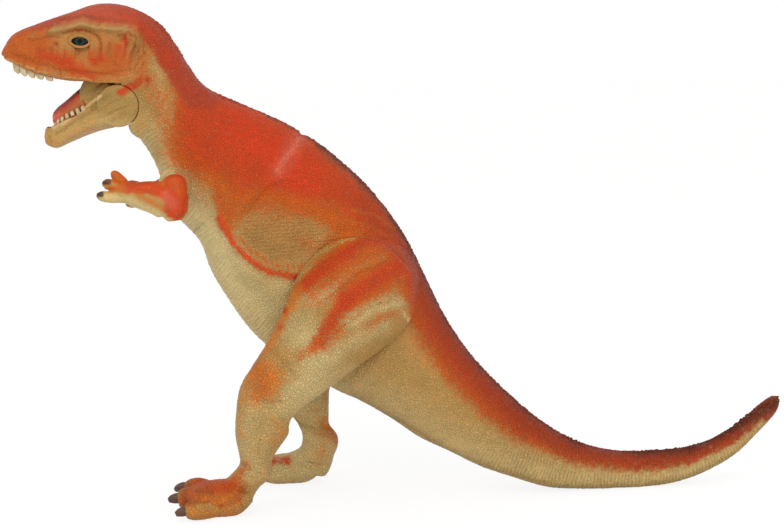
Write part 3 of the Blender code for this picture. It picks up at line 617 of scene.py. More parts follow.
def lip(table: tuple[Row, ...], place: float, upper: bool, width: float) -> Lip:
    """Find a pair of lips at a place along a table of stations.

    Args:
        table: Stations of the skull or the jaw.
        place: Place along the table.
        upper: Whether the lips are the skull's.
        width: Half width that the table's shares count from.

    Returns:
        The middle between the lips, the way in from them, the half width and the height there.
    """
    row = rows_at(table, np.array([place]))[0]
    top, low = (np.insert(row[at:at + 2] * FIGURE.side, 1, 0.0) for at in (0, 2))
    lips, back = (low, top) if upper else (top, low)
    return lips, unit(back - lips), row[4] * width, float(np.linalg.norm(back - lips))


def hollow(lips: list[Lip], depths: list[float], wall: float, narrow: float) -> Array:
    """Draw the rings of the hollow between two lips.

    Args:
        lips: The lips, one pair to a ring.
        depths: Depth of each ring.
        wall: Thickness of a lip.
        narrow: Width of the hollow's floor, as a share of its width between the lips.

    Returns:
        Rings, points and coordinates.
    """
    rings = []
    for (middle, inward, half, _), depth in zip(lips, depths):
        across = np.array([0.0, half - wall, 0.0])
        mouth, floor = middle - inward * 2.0 * MM, middle + inward * depth
        rings.append([mouth - across, mouth + across, floor + across * narrow, floor - across * narrow])
    return np.array(rings)


def grid_mesh(name: str, rings: Array, loop: bool = False) -> Mesh:
    """Make a closed mesh through rings of points.

    Args:
        name: Name of the mesh.
        rings: Rings, points and coordinates.
        loop: Whether the last ring joins the first, where otherwise a fan closes each end.

    Returns:
        The mesh, with its faces pointing out.
    """
    count, sides, _ = rings.shape
    ring = np.arange(sides)
    following = (ring + 1) % sides
    here = (np.arange(count if loop else count - 1) * sides)[:, None]
    there = (here + sides) % (count * sides)
    quads = np.stack([here + ring, here + following, there + following, there + ring], axis=-1).reshape(-1, 4)
    points, faces = rings.reshape(-1, 3), quads.tolist()
    if not loop:
        points = np.concatenate([points, rings[:1].mean(axis=1), rings[-1:].mean(axis=1)])
        last = (count - 1) * sides
        faces += np.stack([np.full(sides, last + sides), following, ring], axis=-1).tolist()
        faces += np.stack([np.full(sides, last + sides + 1), ring + last, following + last], axis=-1).tolist()
    mesh = bpy.data.meshes.new(name)
    mesh.from_pydata(points.tolist(), [], faces)
    corners = points[quads] - points.mean(axis=0)
    if sum(np.einsum("ij,ij->", corners[:, 0], np.cross(corners[:, at], corners[:, at + 1])) for at in (1, 2)) < 0.0:
        mesh.flip_normals()
    return mesh


def new_object(name: str, mesh: Mesh) -> Piece:
    """Return a new object of the scene that shows a mesh."""
    piece = bpy.data.objects.new(name, mesh)
    bpy.context.scene.collection.objects.link(piece)
    return piece


def settled(name: str, piece: Piece) -> Mesh:
    """Work the modifiers of an object into its mesh, and remove the object.

    Args:
        name: Name of the mesh.
        piece: The object.

    Returns:
        The mesh.
    """
    bpy.context.view_layer.update()
    mesh = bpy.data.meshes.new_from_object(piece.evaluated_get(bpy.context.evaluated_depsgraph_get()))
    mesh.name = name
    bpy.data.objects.remove(piece, do_unlink=True)
    return mesh


def joined(name: str, meshes: list[Mesh]) -> Mesh:
    """Gather several meshes in one.

    Args:
        name: Name of the whole.
        meshes: The meshes.

    Returns:
        One mesh with all their points and faces.
    """
    points, faces = [], []
    for mesh in meshes:
        faces += [[len(points) + index for index in face.vertices] for face in mesh.polygons]
        points += [vertex.co.copy() for vertex in mesh.vertices]
    whole = bpy.data.meshes.new(name)
    whole.from_pydata(points, [], faces)
    return whole


def fused(name: str, forms: list[Array], voxel: float, times: int) -> Mesh:
    """Melt the forms through several sets of rings into one smooth skin.

    Args:
        name: Name of the skin.
        forms: Rings of each form.
        voxel: Size of the skin's facets in metres.
        times: How often the skin is smoothed.

    Returns:
        One closed mesh.
    """
    piece = new_object(name, joined(name, [grid_mesh(name, rings) for rings in forms]))
    melt = piece.modifiers.new("melt", "REMESH")
    melt.mode = "VOXEL"
    melt.voxel_size = voxel
    mesh = settled(name, piece)
    relax(mesh, times)
    return mesh


def carved(name: str, mesh: Mesh, cutters: list[Array]) -> Mesh:
    """Cut the forms through rings of points from a mesh.

    Args:
        name: Name of the result.
        mesh: Closed mesh to cut.
        cutters: Rings of each form that is cut away.

    Returns:
        The mesh with the forms cut away.
    """
    for rings in cutters:
        for nudge in (0.0, 0.00004, -0.00005, 0.00009):
            piece = new_object(name, mesh.copy())
            guide = new_object(f"{name}_cut", grid_mesh(f"{name}_cut", rings + np.array([nudge, 0.0, nudge])))
            cut = piece.modifiers.new("cut", "BOOLEAN")
            cut.operation = "DIFFERENCE"
            cut.object = guide
            result = settled(name, piece)
            bpy.data.objects.remove(guide, do_unlink=True)
            if len(result.vertices) and np.ptp(points_of(result)[:, 0]) > 0.9 * np.ptp(points_of(mesh)[:, 0]):
                mesh = result
                break
            log.info("%s: cut made again, moved a little", name)
    return mesh


def values_of(items: object, key: str, size: int = 3) -> Array:
    """Return a row of numbers for each item of a mesh, such as the places of its points."""
    values = np.zeros(len(items) * size, np.float32)
    items.foreach_get(key, values)
    return values.reshape(-1, size).astype(float)


def points_of(mesh: Mesh) -> Array:
    """Return the points of a mesh, one to a row."""
    return values_of(mesh.vertices, "co")


def place_points(mesh: Mesh, points: Array) -> None:
    """Move the points of a mesh."""
    mesh.vertices.foreach_set("co", points.astype(np.float32).ravel())
    mesh.update()


def relax(mesh: Mesh, times: int, share: float = 0.5) -> None:
    """Smooth a mesh.

    Args:
        mesh: Mesh that is changed.
        times: How often each point moves towards its neighbours.
        share: Share of the way that it moves.
    """
    edges = np.zeros(len(mesh.edges) * 2, np.int64)
    mesh.edges.foreach_get("vertices", edges)
    edges = edges.reshape(-1, 2)
    points = points_of(mesh)
    count = np.maximum(np.bincount(edges.ravel(), minlength=len(points)), 1)[:, None]
    for turn in range(times):
        total = np.stack([np.bincount(edges[:, 0], points[edges[:, 1], axis], len(points))
                          + np.bincount(edges[:, 1], points[edges[:, 0], axis], len(points))
                          for axis in range(3)], axis=1)
        points += (total / count - points) * (share if turn % 2 == 0 else -share * 0.96)
    place_points(mesh, points)


def scale_domes(points: Array, pitch: float) -> Array:
    """Find how high points stand on their scales.

    Args:
        points: Points, one to a row.
        pitch: Size of a scale.

    Returns:
        From 0 in a groove to 1 on the middle of a scale, for each point.
    """
    spots = points / pitch
    base = np.floor(spots)
    nearest, second = np.full(len(points), 9.0), np.full(len(points), 9.0)
    keys = np.array([[127.1, 311.7, 74.7], [269.5, 183.3, 246.1], [113.5, 271.9, 124.6]])
    for offset in itertools.product((-1.0, 0.0, 1.0), repeat=3):
        cell = base + np.array(offset)
        jitter = np.abs(np.sin(cell @ keys.T) * 43758.5) % 1.0
        gap = np.linalg.norm(cell + jitter - spots, axis=1)
        second = np.minimum(second, np.maximum(nearest, gap))
        nearest = np.minimum(nearest, gap)
    return smooth((second - nearest) / 0.55)


# Skins


def set_in_place(piece: Piece, body: str, node: str | None = None) -> None:
    """Tie a finished piece to the figure.

    Args:
        piece: The piece.
        body: Body that it moves with.
        node: Node that it stands for, if any.
    """
    if node:
        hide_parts(node)
    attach(piece, body)
    log.info("%s: %d points", piece.name, len(piece.data.vertices))


def dress(name: str, forms: list[Array], material: Material) -> Piece:
    """Make an object of one plain material.

    Args:
        name: Name of the piece.
        forms: Rings of each form of it.
        material: Its finish.

    Returns:
        The object.
    """
    mesh = joined(name, [grid_mesh(name, rings) for rings in forms])
    mesh.materials.append(material)
    mesh.shade_smooth()
    mesh.set_sharp_from_angle(angle=math.radians(50))
    return new_object(name, mesh)


@dataclass
class Skin:
    """A mesh of painted vinyl with its strokes, ready to be embossed, painted and placed."""

    name: str
    mesh: Mesh
    fold: Share | None = 0.0
    along: Array | None = None
    arc: Array | None = None
    edge_angle: float | None = None
    spots: Array = field(init=False)

    def __post_init__(self) -> None:
        """Find where the skin's points stand in the side view."""
        self.spots = VIEW.spots(self.points, self.fold)

    @property
    def points(self) -> Array:
        """Return the skin's points, one to a row."""
        return points_of(self.mesh)

    @property
    def ways(self) -> Array:
        """Return the way out of the skin at each of its points."""
        return values_of(self.mesh.vertex_normals, "vector")

    def push(self, heights: Array) -> None:
        """Move each point out by a height in millimetres."""
        place_points(self.mesh, self.points + self.ways * (heights * MM)[:, None])

    def emboss(self, ridges: tuple[Ridge, ...], strength: float = 1.0) -> None:
        """Raise and sink the skin along ridges.

        Args:
            ridges: Ridges and folds.
            strength: Share of their height.
        """
        aside = smooth((np.abs(self.ways[:, 1]) - 0.10) / 0.5)
        heights = np.zeros(len(aside))
        for ridge in ridges:
            rise = ridge.height * np.exp(-(Mark(ridge.path).distance(self.spots) / ridge.reach) ** 2)
            heights += rise * strength * (1.0 if ridge.crown else aside)
        self.push(heights)

    def pebble(self, pitch: float, height: float, where: Share = 1.0) -> None:
        """Raise small scales on the skin, of a pitch and height in millimetres."""
        self.push((scale_domes(self.points, pitch * MM) - 0.6) * height * where)

    def coats(self, under: tuple[Spray, ...], over: tuple[Spray, ...] = (), base: Tone = Tone.BASE_TAN,
              wander: float = 1.6) -> Array:
        """Mix the coats of paint for the skin.

        Args:
            under: Soft paints of the base coat, in order.
            over: Speckled paints of the airbrush coat, in order.
            base: Paint of the whole skin.
            wander: How far the edges of the paint wander, in pixels.

        Returns:
            Base coat, airbrush coat and cover of each point.
        """
        shift = np.stack([ripple(self.spots, 13.0, 1.3) + ripple(self.spots, 5.0, 4.1) * 0.5,
                          ripple(self.spots, 11.0, 2.9) + ripple(self.spots, 6.0, 0.7) * 0.5], axis=1)
        spots = self.spots + shift * wander * 0.6
        coat, top = (np.tile(tone.linear, (len(spots), 1)) for tone in (base, Tone.ORANGE))
        cover = np.zeros((len(spots), 1))
        for spray in under:
            share = (spray.mark.cover(spots) * spray.strength)[:, None]
            coat = coat * (1.0 - share) + spray.tone.linear * share
        for spray in over:
            share = (spray.mark.cover(spots) * spray.strength)[:, None]
            left = cover * (1.0 - share)
            if spray.tone is None:
                cover = left
                continue
            blend = share / np.maximum(share + left, 1e-6)
            top = top * (1.0 - blend) + spray.tone.linear * blend
            cover = left + share
        return np.concatenate([coat, top, cover], axis=1)

    def lay(self, coats: Array, scales: Share = 1.0, wrinkles: Share = 0.0, gloss: Share = 0.0) -> None:
        """Lay mixed coats on the skin.

        Args:
            coats: Coats of each point.
            scales: How strongly the scales show at each point.
            wrinkles: How deep the skin is creased at each point, which also sets how dark its folds are painted as
                shade.
            gloss: How glossy each point is.
        """
        relief = np.stack([np.broadcast_to(value, len(coats)) for value in (scales, wrinkles, gloss)], axis=1)
        for name, colours in (("BaseCoat", coats[:, :3]), ("TopCoat", coats[:, 3:6]), ("Relief", relief)):
            self.lay_colour(name, colours)
        arc = np.zeros(len(coats)) if self.arc is None else self.arc
        for name, values in (("Cover", coats[:, 6]), ("Arc", arc)):
            layer = self.mesh.attributes.new(name, "FLOAT", "POINT")
            layer.data.foreach_set("value", values.astype(np.float32))

    def lay_colour(self, name: str, colours: Array) -> None:
        """Keep a linear colour on each point of the skin."""
        layer = self.mesh.color_attributes.new(name, "FLOAT_COLOR", "POINT")
        values = np.insert(np.clip(colours, 0.0, 1.0), 3, 1.0, axis=1)
        layer.data.foreach_set("color", values.astype(np.float32).ravel())

    def show(self, material: Material, body: str, node: str | None = None) -> None:
        """Put the finished skin in its place.

        Args:
            material: Its finish.
            body: Body that it moves with.
            node: Node that it stands for, if any.
        """
        self.mesh.materials.clear()
        self.mesh.materials.append(material)
        self.mesh.shade_smooth()
        if self.edge_angle:
            self.mesh.set_sharp_from_angle(angle=self.edge_angle)
        set_in_place(new_object(self.name, self.mesh), body, node)


# The trunk


# Stations from the tail's tip to the snout; sections says what each number of a row is.
SPINE: tuple[Row, ...] = (
    (0.4975, 0.176, 0.5, 0.163, 0.05, 1, 2.3), (0.484, 0.174, 0.492, 0.139, 0.12, 0.94, 2.3),
    (0.454, 0.14, 0.465, 0.096, 0.17, 0.85, 2.3), (0.43, 0.111, 0.441, 0.061, 0.2, 0.79, 2.3),
    (0.4, 0.087, 0.409, 0.031, 0.23, 0.73, 2.3), (0.363, 0.074, 0.369, 0.007, 0.27, 0.67, 2.3),
    (0.322, 0.071, 0.325, -0.004, 0.31, 0.6, 2.3), (0.282, 0.073, 0.279, -0.005, 0.35, 0.52, 2.3),
    (0.242, 0.088, 0.233, -0.002, 0.39, 0.44, 2.3), (0.205, 0.117, 0.186, 0.006, 0.45, 0.35, 2.3),
    (0.17, 0.157, 0.142, 0.03, 0.51, 0.27, 2.3), (0.138, 0.203, 0.1, 0.056, 0.58, 0.19, 2.3),
    (0.109, 0.25, 0.058, 0.092, 0.65, 0.12, 2.3), (0.083, 0.299, 0.02, 0.123, 0.71, 0.07, 2.3),
    (0.063, 0.346, -0.019, 0.167, 0.77, 0.03, 2.3), (0.045, 0.396, -0.057, 0.203, 0.83, 0.01, 2.3),
    (0.032, 0.441, -0.088, 0.226, 0.88, 0, 2.3), (-0.001, 0.545, -0.146, 0.282, 0.91, 0, 2.3),
    (-0.044, 0.636, -0.192, 0.345, 0.95, 0, 2.3), (-0.096, 0.712, -0.229, 0.431, 0.98, 0, 2.3),
    (-0.125, 0.743, -0.244, 0.476, 0.95, 0, 2.3), (-0.156, 0.771, -0.257, 0.531, 0.9, 0, 2.3),
    (-0.208, 0.807, -0.292, 0.596, 0.8, 0, 2.3), (-0.247, 0.837, -0.308, 0.679, 0.7, 0, 2.5),
    (-0.269, 0.882, -0.325, 0.729, 0.64, 0, 3.2), (-0.28, 0.913, -0.34, 0.755, 0.62, 0, 4.2),
    (-0.304, 0.963, -0.344, 0.834, 0.62, 0, 7), (-0.341, 0.995, -0.355, 0.846, 0.63, 0, 9),
    (-0.378, 1, -0.382, 0.848, 0.6, 0, 9), (-0.413, 0.983, -0.415, 0.85, 0.52, 0, 8),
    (-0.452, 0.962, -0.454, 0.864, 0.39, 0, 6.5), (-0.483, 0.941, -0.484, 0.884, 0.28, 0, 4.5),
    (-0.4985, 0.907, -0.4985, 0.899, 0.07, 0, 2.5),
)

BODY_RIDGES: tuple[Ridge, ...] = (
    Ridge((221, 218, 234, 241, 250, 257, 270, 269, 296, 273, 312, 268, 322, 256), 4.5, 0.75),
    Ridge((212, 220, 226, 248, 243, 265, 268, 279, 298, 284, 318, 277), 3, -0.36),
    Ridge((240, 216, 268, 228, 300, 232), 14, -0.45),
    Ridge((232, 232, 262, 241, 300, 238), 1.5, -0.22),
    Ridge((236, 243, 265, 252, 305, 248), 1.5, -0.24),
    Ridge((246, 252, 272, 260, 306, 256), 1.5, -0.22),
    Ridge((238, 224, 270, 229, 312, 225), 1.5, -0.2),
    Ridge((244, 214, 274, 219, 314, 214), 1.5, -0.18),
    Ridge((322, 256, 344, 240, 365, 233, 385, 238), 2.6, 0.45),
    Ridge((318, 250, 342, 233, 366, 226, 390, 231), 2.6, -0.4),
    Ridge((196, 178, 200, 192, 205, 206), 2, -0.18),
    Ridge((204, 176, 208, 190, 213, 203), 2, -0.18),
    Ridge((212, 174, 216, 190, 222, 208), 2, -0.16),
    Ridge((190, 182, 193, 196, 198, 210), 2, -0.14),
    Ridge((192, 150, 214, 160, 232, 176, 244, 200), 9, 0.6),
    Ridge((230, 120, 250, 150, 262, 180), 16, 0.5),
    Ridge((150, 74, 149, 96, 156, 122), 4, -0.55),
    Ridge((160, 70, 162, 96, 170, 126), 4, 0.5),
    Ridge((172, 78, 174, 104, 182, 130), 3, -0.35),
    Ridge((300, 137, 289, 154, 278, 171), 3, 0.3),
    Ridge((303, 131, 300, 137), 2.6, -0.75, True),
    Ridge((344, 210, 368, 222, 398, 246), 5, 0.35),
    Ridge((352, 200, 380, 214, 408, 240), 4, -0.3),
    Ridge((300, 280, 320, 300, 335, 322), 6, -0.5),
    Ridge((404, 318, 380, 344, 348, 378), 3.5, -0.55),
    Ridge((412, 322, 390, 350, 356, 386), 4, 0.4),
    Ridge((404, 306, 409, 318, 404, 330), 3, 0.35),
)

HEAD_RIDGES: tuple[Ridge, ...] = (
    Ridge((50, 33, 66, 29, 83, 25, 98, 29, 116, 30, 130, 30, 137, 36, 138, 46), 2.6, 0.75),
    Ridge((60, 20, 83, 16, 104, 19, 128, 22), 4, -0.35),
    Ridge((62, 33, 70, 31, 82, 29.5, 92, 32, 99, 38, 102, 46), 1.5, -0.5),
    Ridge((80, 41.5), 8.5, -0.55),
    Ridge((66, 45, 74, 50, 84, 51, 94, 47), 2, 0.4),
    Ridge((66, 52, 78, 56, 92, 54), 1.6, -0.3),
    Ridge((30, 40, 46, 37, 60, 36), 3, -0.35),
    Ridge((22, 34, 40, 29, 56, 26), 3.4, 0.4),
    Ridge((55, 44), 3, -0.7),
    Ridge((55, 46, 48, 50, 38, 50), 2, -0.3),
    Ridge((20, 52, 36, 52, 52, 54, 64, 60), 4, 0.35),
    Ridge((13, 46), 2, -0.35),
    Ridge((96, 62, 106, 55, 118, 49, 124, 47), 4, 0.55),
    Ridge((92, 54, 102, 48, 112, 42), 1.8, -0.3),
    Ridge((117, 36, 125, 33.5, 132, 36, 134.5, 43, 132, 50), 1.8, 0.45),
    Ridge((121, 40, 125, 38, 128.5, 41, 127, 47, 123, 50), 1.6, -0.55),
    Ridge((113, 56, 122, 55, 130, 52, 136, 46), 1.4, -0.32),
    Ridge((110, 61, 121, 60, 131, 57, 139, 51), 1.4, -0.32),
    Ridge((107, 66, 120, 66, 132, 63, 141, 57), 1.4, -0.3),
    Ridge((112, 71, 124, 71, 136, 68, 144, 63), 1.4, -0.28),
    Ridge((141, 30, 144, 42, 144, 54), 2.4, -0.4),
    Ridge((6, 58, 18, 62, 38, 70, 61, 76, 84, 78, 98, 80.5, 116, 80, 127, 77.5), 2.2, 0.45),
    Ridge((12, 55, 24, 58, 40, 64, 62, 70, 84, 72.5, 100, 74, 116, 74), 1.8, -0.3),
    Ridge((24, 60, 25, 66), 1, -0.2),
    Ridge((36, 64, 37, 70), 1, -0.2),
    Ridge((48, 68, 49, 74), 1, -0.2),
    Ridge((60, 70, 61, 77), 1, -0.2),
    Ridge((72, 72, 73, 78), 1, -0.2),
)

# Areas and lines of the body that its paint and folds follow.
SKULL_TOP: Path = (
    4, 44, 12, 30, 24, 20, 40, 12, 60, 6, 84, -6, 112, -8, 152, 0, 190, 46, 226, 82, 214, 112, 190, 108, 174, 88, 163,
    70, 152, 52, 144, 38, 136, 25, 118, 24, 98, 23, 83, 18, 66, 23, 50, 28, 34, 33, 18, 40,
)
BACK_AREA: Path = (
    172, 86, 176, 60, 200, 50, 228, 80, 300, 118, 362, 174, 408, 230, 440, 292, 480, 350, 530, 402, 606, 448, 690,
    446, 788, 392, 790, 404, 746, 436, 704, 457, 663, 467, 612, 469, 574, 463, 531, 446, 488, 420, 445, 379, 417, 338,
    404, 306, 398, 300, 360, 306, 322, 282, 318, 262, 334, 236, 318, 218, 292, 206, 262, 198, 244, 204, 234, 222, 228,
    232, 220, 222, 222, 206, 218, 186, 206, 177, 188, 172, 175, 162, 168, 140, 173, 120, 178, 102,
)
BACK_RED_AREA: Path = (
    186, 92, 194, 70, 228, 88, 300, 124, 360, 178, 406, 236, 436, 296, 476, 352, 528, 404, 604, 450, 690, 448, 784,
    398, 740, 428, 700, 449, 660, 458, 614, 460, 578, 454, 536, 436, 494, 408, 452, 364, 428, 326, 414, 290, 400, 262,
    376, 236, 350, 216, 322, 204, 290, 196, 262, 190, 244, 194, 232, 184, 216, 172, 196, 164, 180, 152, 177, 134, 182,
    112,
)
DORSAL_LINE: Path = (
    128, 6, 136, 9, 152, 16, 168, 32, 184, 54, 200, 78, 224, 96, 256, 108, 288, 124, 320, 144, 352, 170, 384, 202,
    416, 254, 448, 320, 480, 364, 528, 410, 576, 441, 640, 451, 688, 447, 736, 425, 780, 399,
)
TAIL_LOW: Path = (
    300, 432, 352, 396, 400, 421, 448, 450, 496, 470, 560, 487, 640, 486, 688, 478, 736, 454, 780, 410,
)
BELLY_LINE: Path = (
    144, 140, 158, 164, 166, 200, 186, 218, 200, 238, 212, 268, 232, 301, 256, 334, 290, 380, 330, 410,
)
FLANK_AREA: Path = (
    236, 224, 244, 212, 262, 204, 292, 206, 316, 218, 330, 236, 320, 254, 300, 264, 272, 262, 248, 248,
)

BACK_SPRAYS: tuple[Spray, ...] = (
    patch(BACK_AREA, Tone.ORANGE, 0.9, 13),
    patch(BACK_RED_AREA, Tone.RED, 0.86, 15),
    line((190, 112, 206, 134, 204, 156), 14, Tone.RED, 0.6, 12),
    line((236, 128, 262, 146, 284, 160, 300, 180), 20, Tone.BRIGHT_RED, 0.65, 16),
    line((250, 200, 290, 202, 330, 216, 352, 232), 8, Tone.ORANGE, 0.75, 9),
    # Painted highlight: a pink streak of sheen down the back.
    line((300, 138, 288, 155, 277, 171), 2.4, Tone.PINK, 0.6, 3),
    line((352, 210, 374, 214, 396, 230), 1, Tone.AMBER, 0.8, 2),
    line((350, 222, 372, 226, 392, 240), 1.2, Tone.AMBER, 0.6, 2.4),
    line((404, 262, 412, 288, 414, 306), 6, Tone.AMBER, 0.5, 8),
    line(DORSAL_LINE[22:32], 30, Tone.TAIL_MID, 0.7, 16),
    line(DORSAL_LINE[30:], 20, Tone.TAIL_MID, 0.7, 9),
    line(DORSAL_LINE[24:], 14, Tone.TAIL_RED, 0.8, 14),
    line(DORSAL_LINE[:28], 1.8, Tone.MAROON, 0.85, 2.4),
    line(DORSAL_LINE[18:], 4.5, Tone.TAIL_BROWN, 0.8, 5),
    line((640, 448, 690, 446, 740, 424, 780, 400), 7, Tone.TAIL_BROWN, 0.7, 6),
)

BODY_BASE: tuple[Spray, ...] = (
    line(BELLY_LINE, 26, Tone.CREAM, 0.95, 14),
    line((178, 190, 200, 215, 222, 250, 250, 285, 284, 310), 16, Tone.CHEST_CREAM, 0.8, 10),
    patch(FLANK_AREA, Tone.DULL_TAN, 0.55, 16),
    line((252, 238, 276, 246, 300, 244), 9, Tone.OLIVE, 0.3, 9),
    line((236, 252, 262, 268, 292, 274), 2, Tone.OLIVE, 0.4, 4),
    line((240, 276, 270, 290, 300, 292), 8, Tone.OLIVE, 0.25, 8),
    line((152, 72, 157, 92, 165, 116), 7, Tone.CREAM, 0.45, 7),
    line((140, 92, 148, 116, 160, 150), 11, Tone.OLIVE, 0.46, 9),
    line((138, 60, 148, 76, 150, 92), 8, Tone.DULL_TAN, 0.55, 7),
    line((196, 178, 206, 196, 212, 214), 10, Tone.OLIVE, 0.12, 8),
    line(TAIL_LOW, 26, Tone.CREAM, 0.55, 18),
    line(TAIL_LOW, 2, Tone.OLIVE, 0.55, 3),
    line((225, 285, 250, 315, 280, 345, 320, 390), 15, Tone.CREAM, 0.8, 12),
    line((318, 300, 300, 330, 290, 350), 8, Tone.CREAM, 0.35, 9),
    # Painted shade: an olive line in the crease behind the thigh.
    line((405, 322, 380, 348, 345, 380), 3, Tone.OLIVE, 0.3, 4),
    line((278, 284, 294, 288, 304, 300), 7, Tone.CREAM, 0.7, 6),
    line((396, 318, 412, 336, 430, 356), 12, Tone.LIP, 0.45, 9),
    patch((4, 30, 60, 10, 120, 10, 150, 40, 146, 84, 96, 92, 40, 82, 2, 62), Tone.DULL_TAN, 0.85, 5),
    line((50, 33, 66, 30, 83, 26, 98, 30, 116, 31, 131, 31, 138, 39, 137, 52), 3, Tone.OLIVE, 0.62, 3),
    # Painted highlight: a thin pale line along the crest of the brow.
    line((50, 31, 66, 27.5, 83, 23.5, 98, 27.5, 116, 28.5, 131, 28.5), 1.2, Tone.PALE, 0.3, 1.6),
    line((64, 40, 74, 49, 86, 49, 97, 44), 5, Tone.BASE_TAN, 0.7, 4),
    line((124, 88, 128, 104, 140, 126), 9, Tone.BASE_TAN, 0.8, 6),
)

BODY_COAT: tuple[Spray, ...] = BACK_SPRAYS + (
    line((218, 184, 222, 200, 225, 216, 228, 228), 5.5, Tone.ORANGE, 0.75, 6),
    line((219, 217, 232, 242, 247, 258, 269, 272, 296, 277, 310, 272, 322, 258), 2.9, Tone.FLANK_RED, 0.97, 2.6),
    line((236, 236, 252, 252, 272, 264, 298, 268, 314, 260), 1.5, Tone.ORANGE, 0.75, 2),
    line((300, 240, 318, 248, 330, 240), 5, Tone.ORANGE, 0.45, 7),
    line((240, 214, 256, 206, 276, 214, 300, 214), 7, Tone.ORANGE, 0.45, 10),
    patch((176, 150, 200, 160, 216, 176, 228, 190, 222, 214, 206, 210, 190, 196, 178, 172), Tone.ORANGE, 0.34, 14),
    # Painted highlight: a softer pink sheen round the same streak.
    line((298, 140, 288, 156, 280, 170), 8, Tone.PINK, 0.3, 8),
    line((586, 484, 640, 481, 690, 470, 734, 449, 764, 424), 3.6, None, 0.85, 4),
    patch(SKULL_TOP, Tone.SKULL_RED, 0.94, 5),
    line((179, 180, 181, 190, 178, 202), 6, Tone.RED, 0.75, 4),
    # Painted highlight: a faint pink sheen along the top of the skull.
    line((70, 12, 100, 12, 126, 20), 8, Tone.PINK, 0.2, 7),
    line((128, 14, 150, 36, 170, 62), 7, Tone.RED, 0.5, 8),
    patch((0, 48, 6, 38, 18, 32, 44, 32, 58, 38, 62, 52, 96, 52, 112, 46, 124, 50, 132, 58, 126, 74, 100, 80, 62, 76,
         36, 70, 16, 62, 4, 60), Tone.SNOUT_ORANGE, 0.62, 9),
    patch((58, 32, 84, 26, 116, 30, 134, 32, 146, 50, 150, 76, 120, 82, 62, 78), Tone.SNOUT_ORANGE, 0.26, 8),
    line((146, 58, 152, 84, 160, 112), 9, Tone.ORANGE, 0.26, 9),
    patch((0, 46, 8, 36, 22, 31, 46, 33, 54, 42, 48, 54, 40, 68, 16, 62, 4, 60), Tone.SNOUT_ORANGE, 0.9, 5),
    line((28, 37, 44, 36, 60, 38), 2.6, None, 0.38, 3.6),
    line((50, 43, 60, 47), 3.6, None, 0.42, 4.6),
    line((40, 54, 54, 57, 70, 62), 4.6, Tone.RED, 0.82, 3.6),
    line((72, 68, 82, 72, 92, 76), 5, Tone.RED, 0.6, 4),
    line((93, 61, 106, 55, 119, 49), 5, Tone.RED, 0.74, 3.6),
    line((74, 56, 86, 60, 94, 70), 3.6, None, 0.4, 4),
    line((104, 70, 118, 66, 130, 58), 4, Tone.SNOUT_ORANGE, 0.35, 4),
    line((50, 60, 66, 66), 3, Tone.RED, 0.4, 3),
    line((125, 36, 125.5, 45), 1.8, Tone.RED, 0.85, 1.6),
    line((119, 93, 131, 86, 147, 80), 3.8, Tone.RED, 0.85, 2.6),
    line((6, 60, 17, 63, 38, 71.5, 61, 77.5, 84, 79.5, 98, 82, 116, 82, 127, 79), 0.9, Tone.LIP, 0.9, 1),
    line((162, 96, 166, 130, 172, 158), 9, Tone.ORANGE, 0.5, 14),
    # Painted shade: dark lines in the creases above and below the eye and round the ear, and along the head's folds.
    line((64, 32, 76, 30, 90, 32, 98, 38, 101, 45), 0.8, Tone.CREASE, 0.55, 1.4),
    line((118, 35, 128, 32.5, 135, 37, 135.5, 47, 131, 53), 0.9, Tone.CREASE, 0.6, 1.4),
    line((64, 48, 74, 53, 88, 54, 100, 49), 0.6, Tone.CREASE, 0.5, 1),
) + creased(HEAD_RIDGES, 0.38)


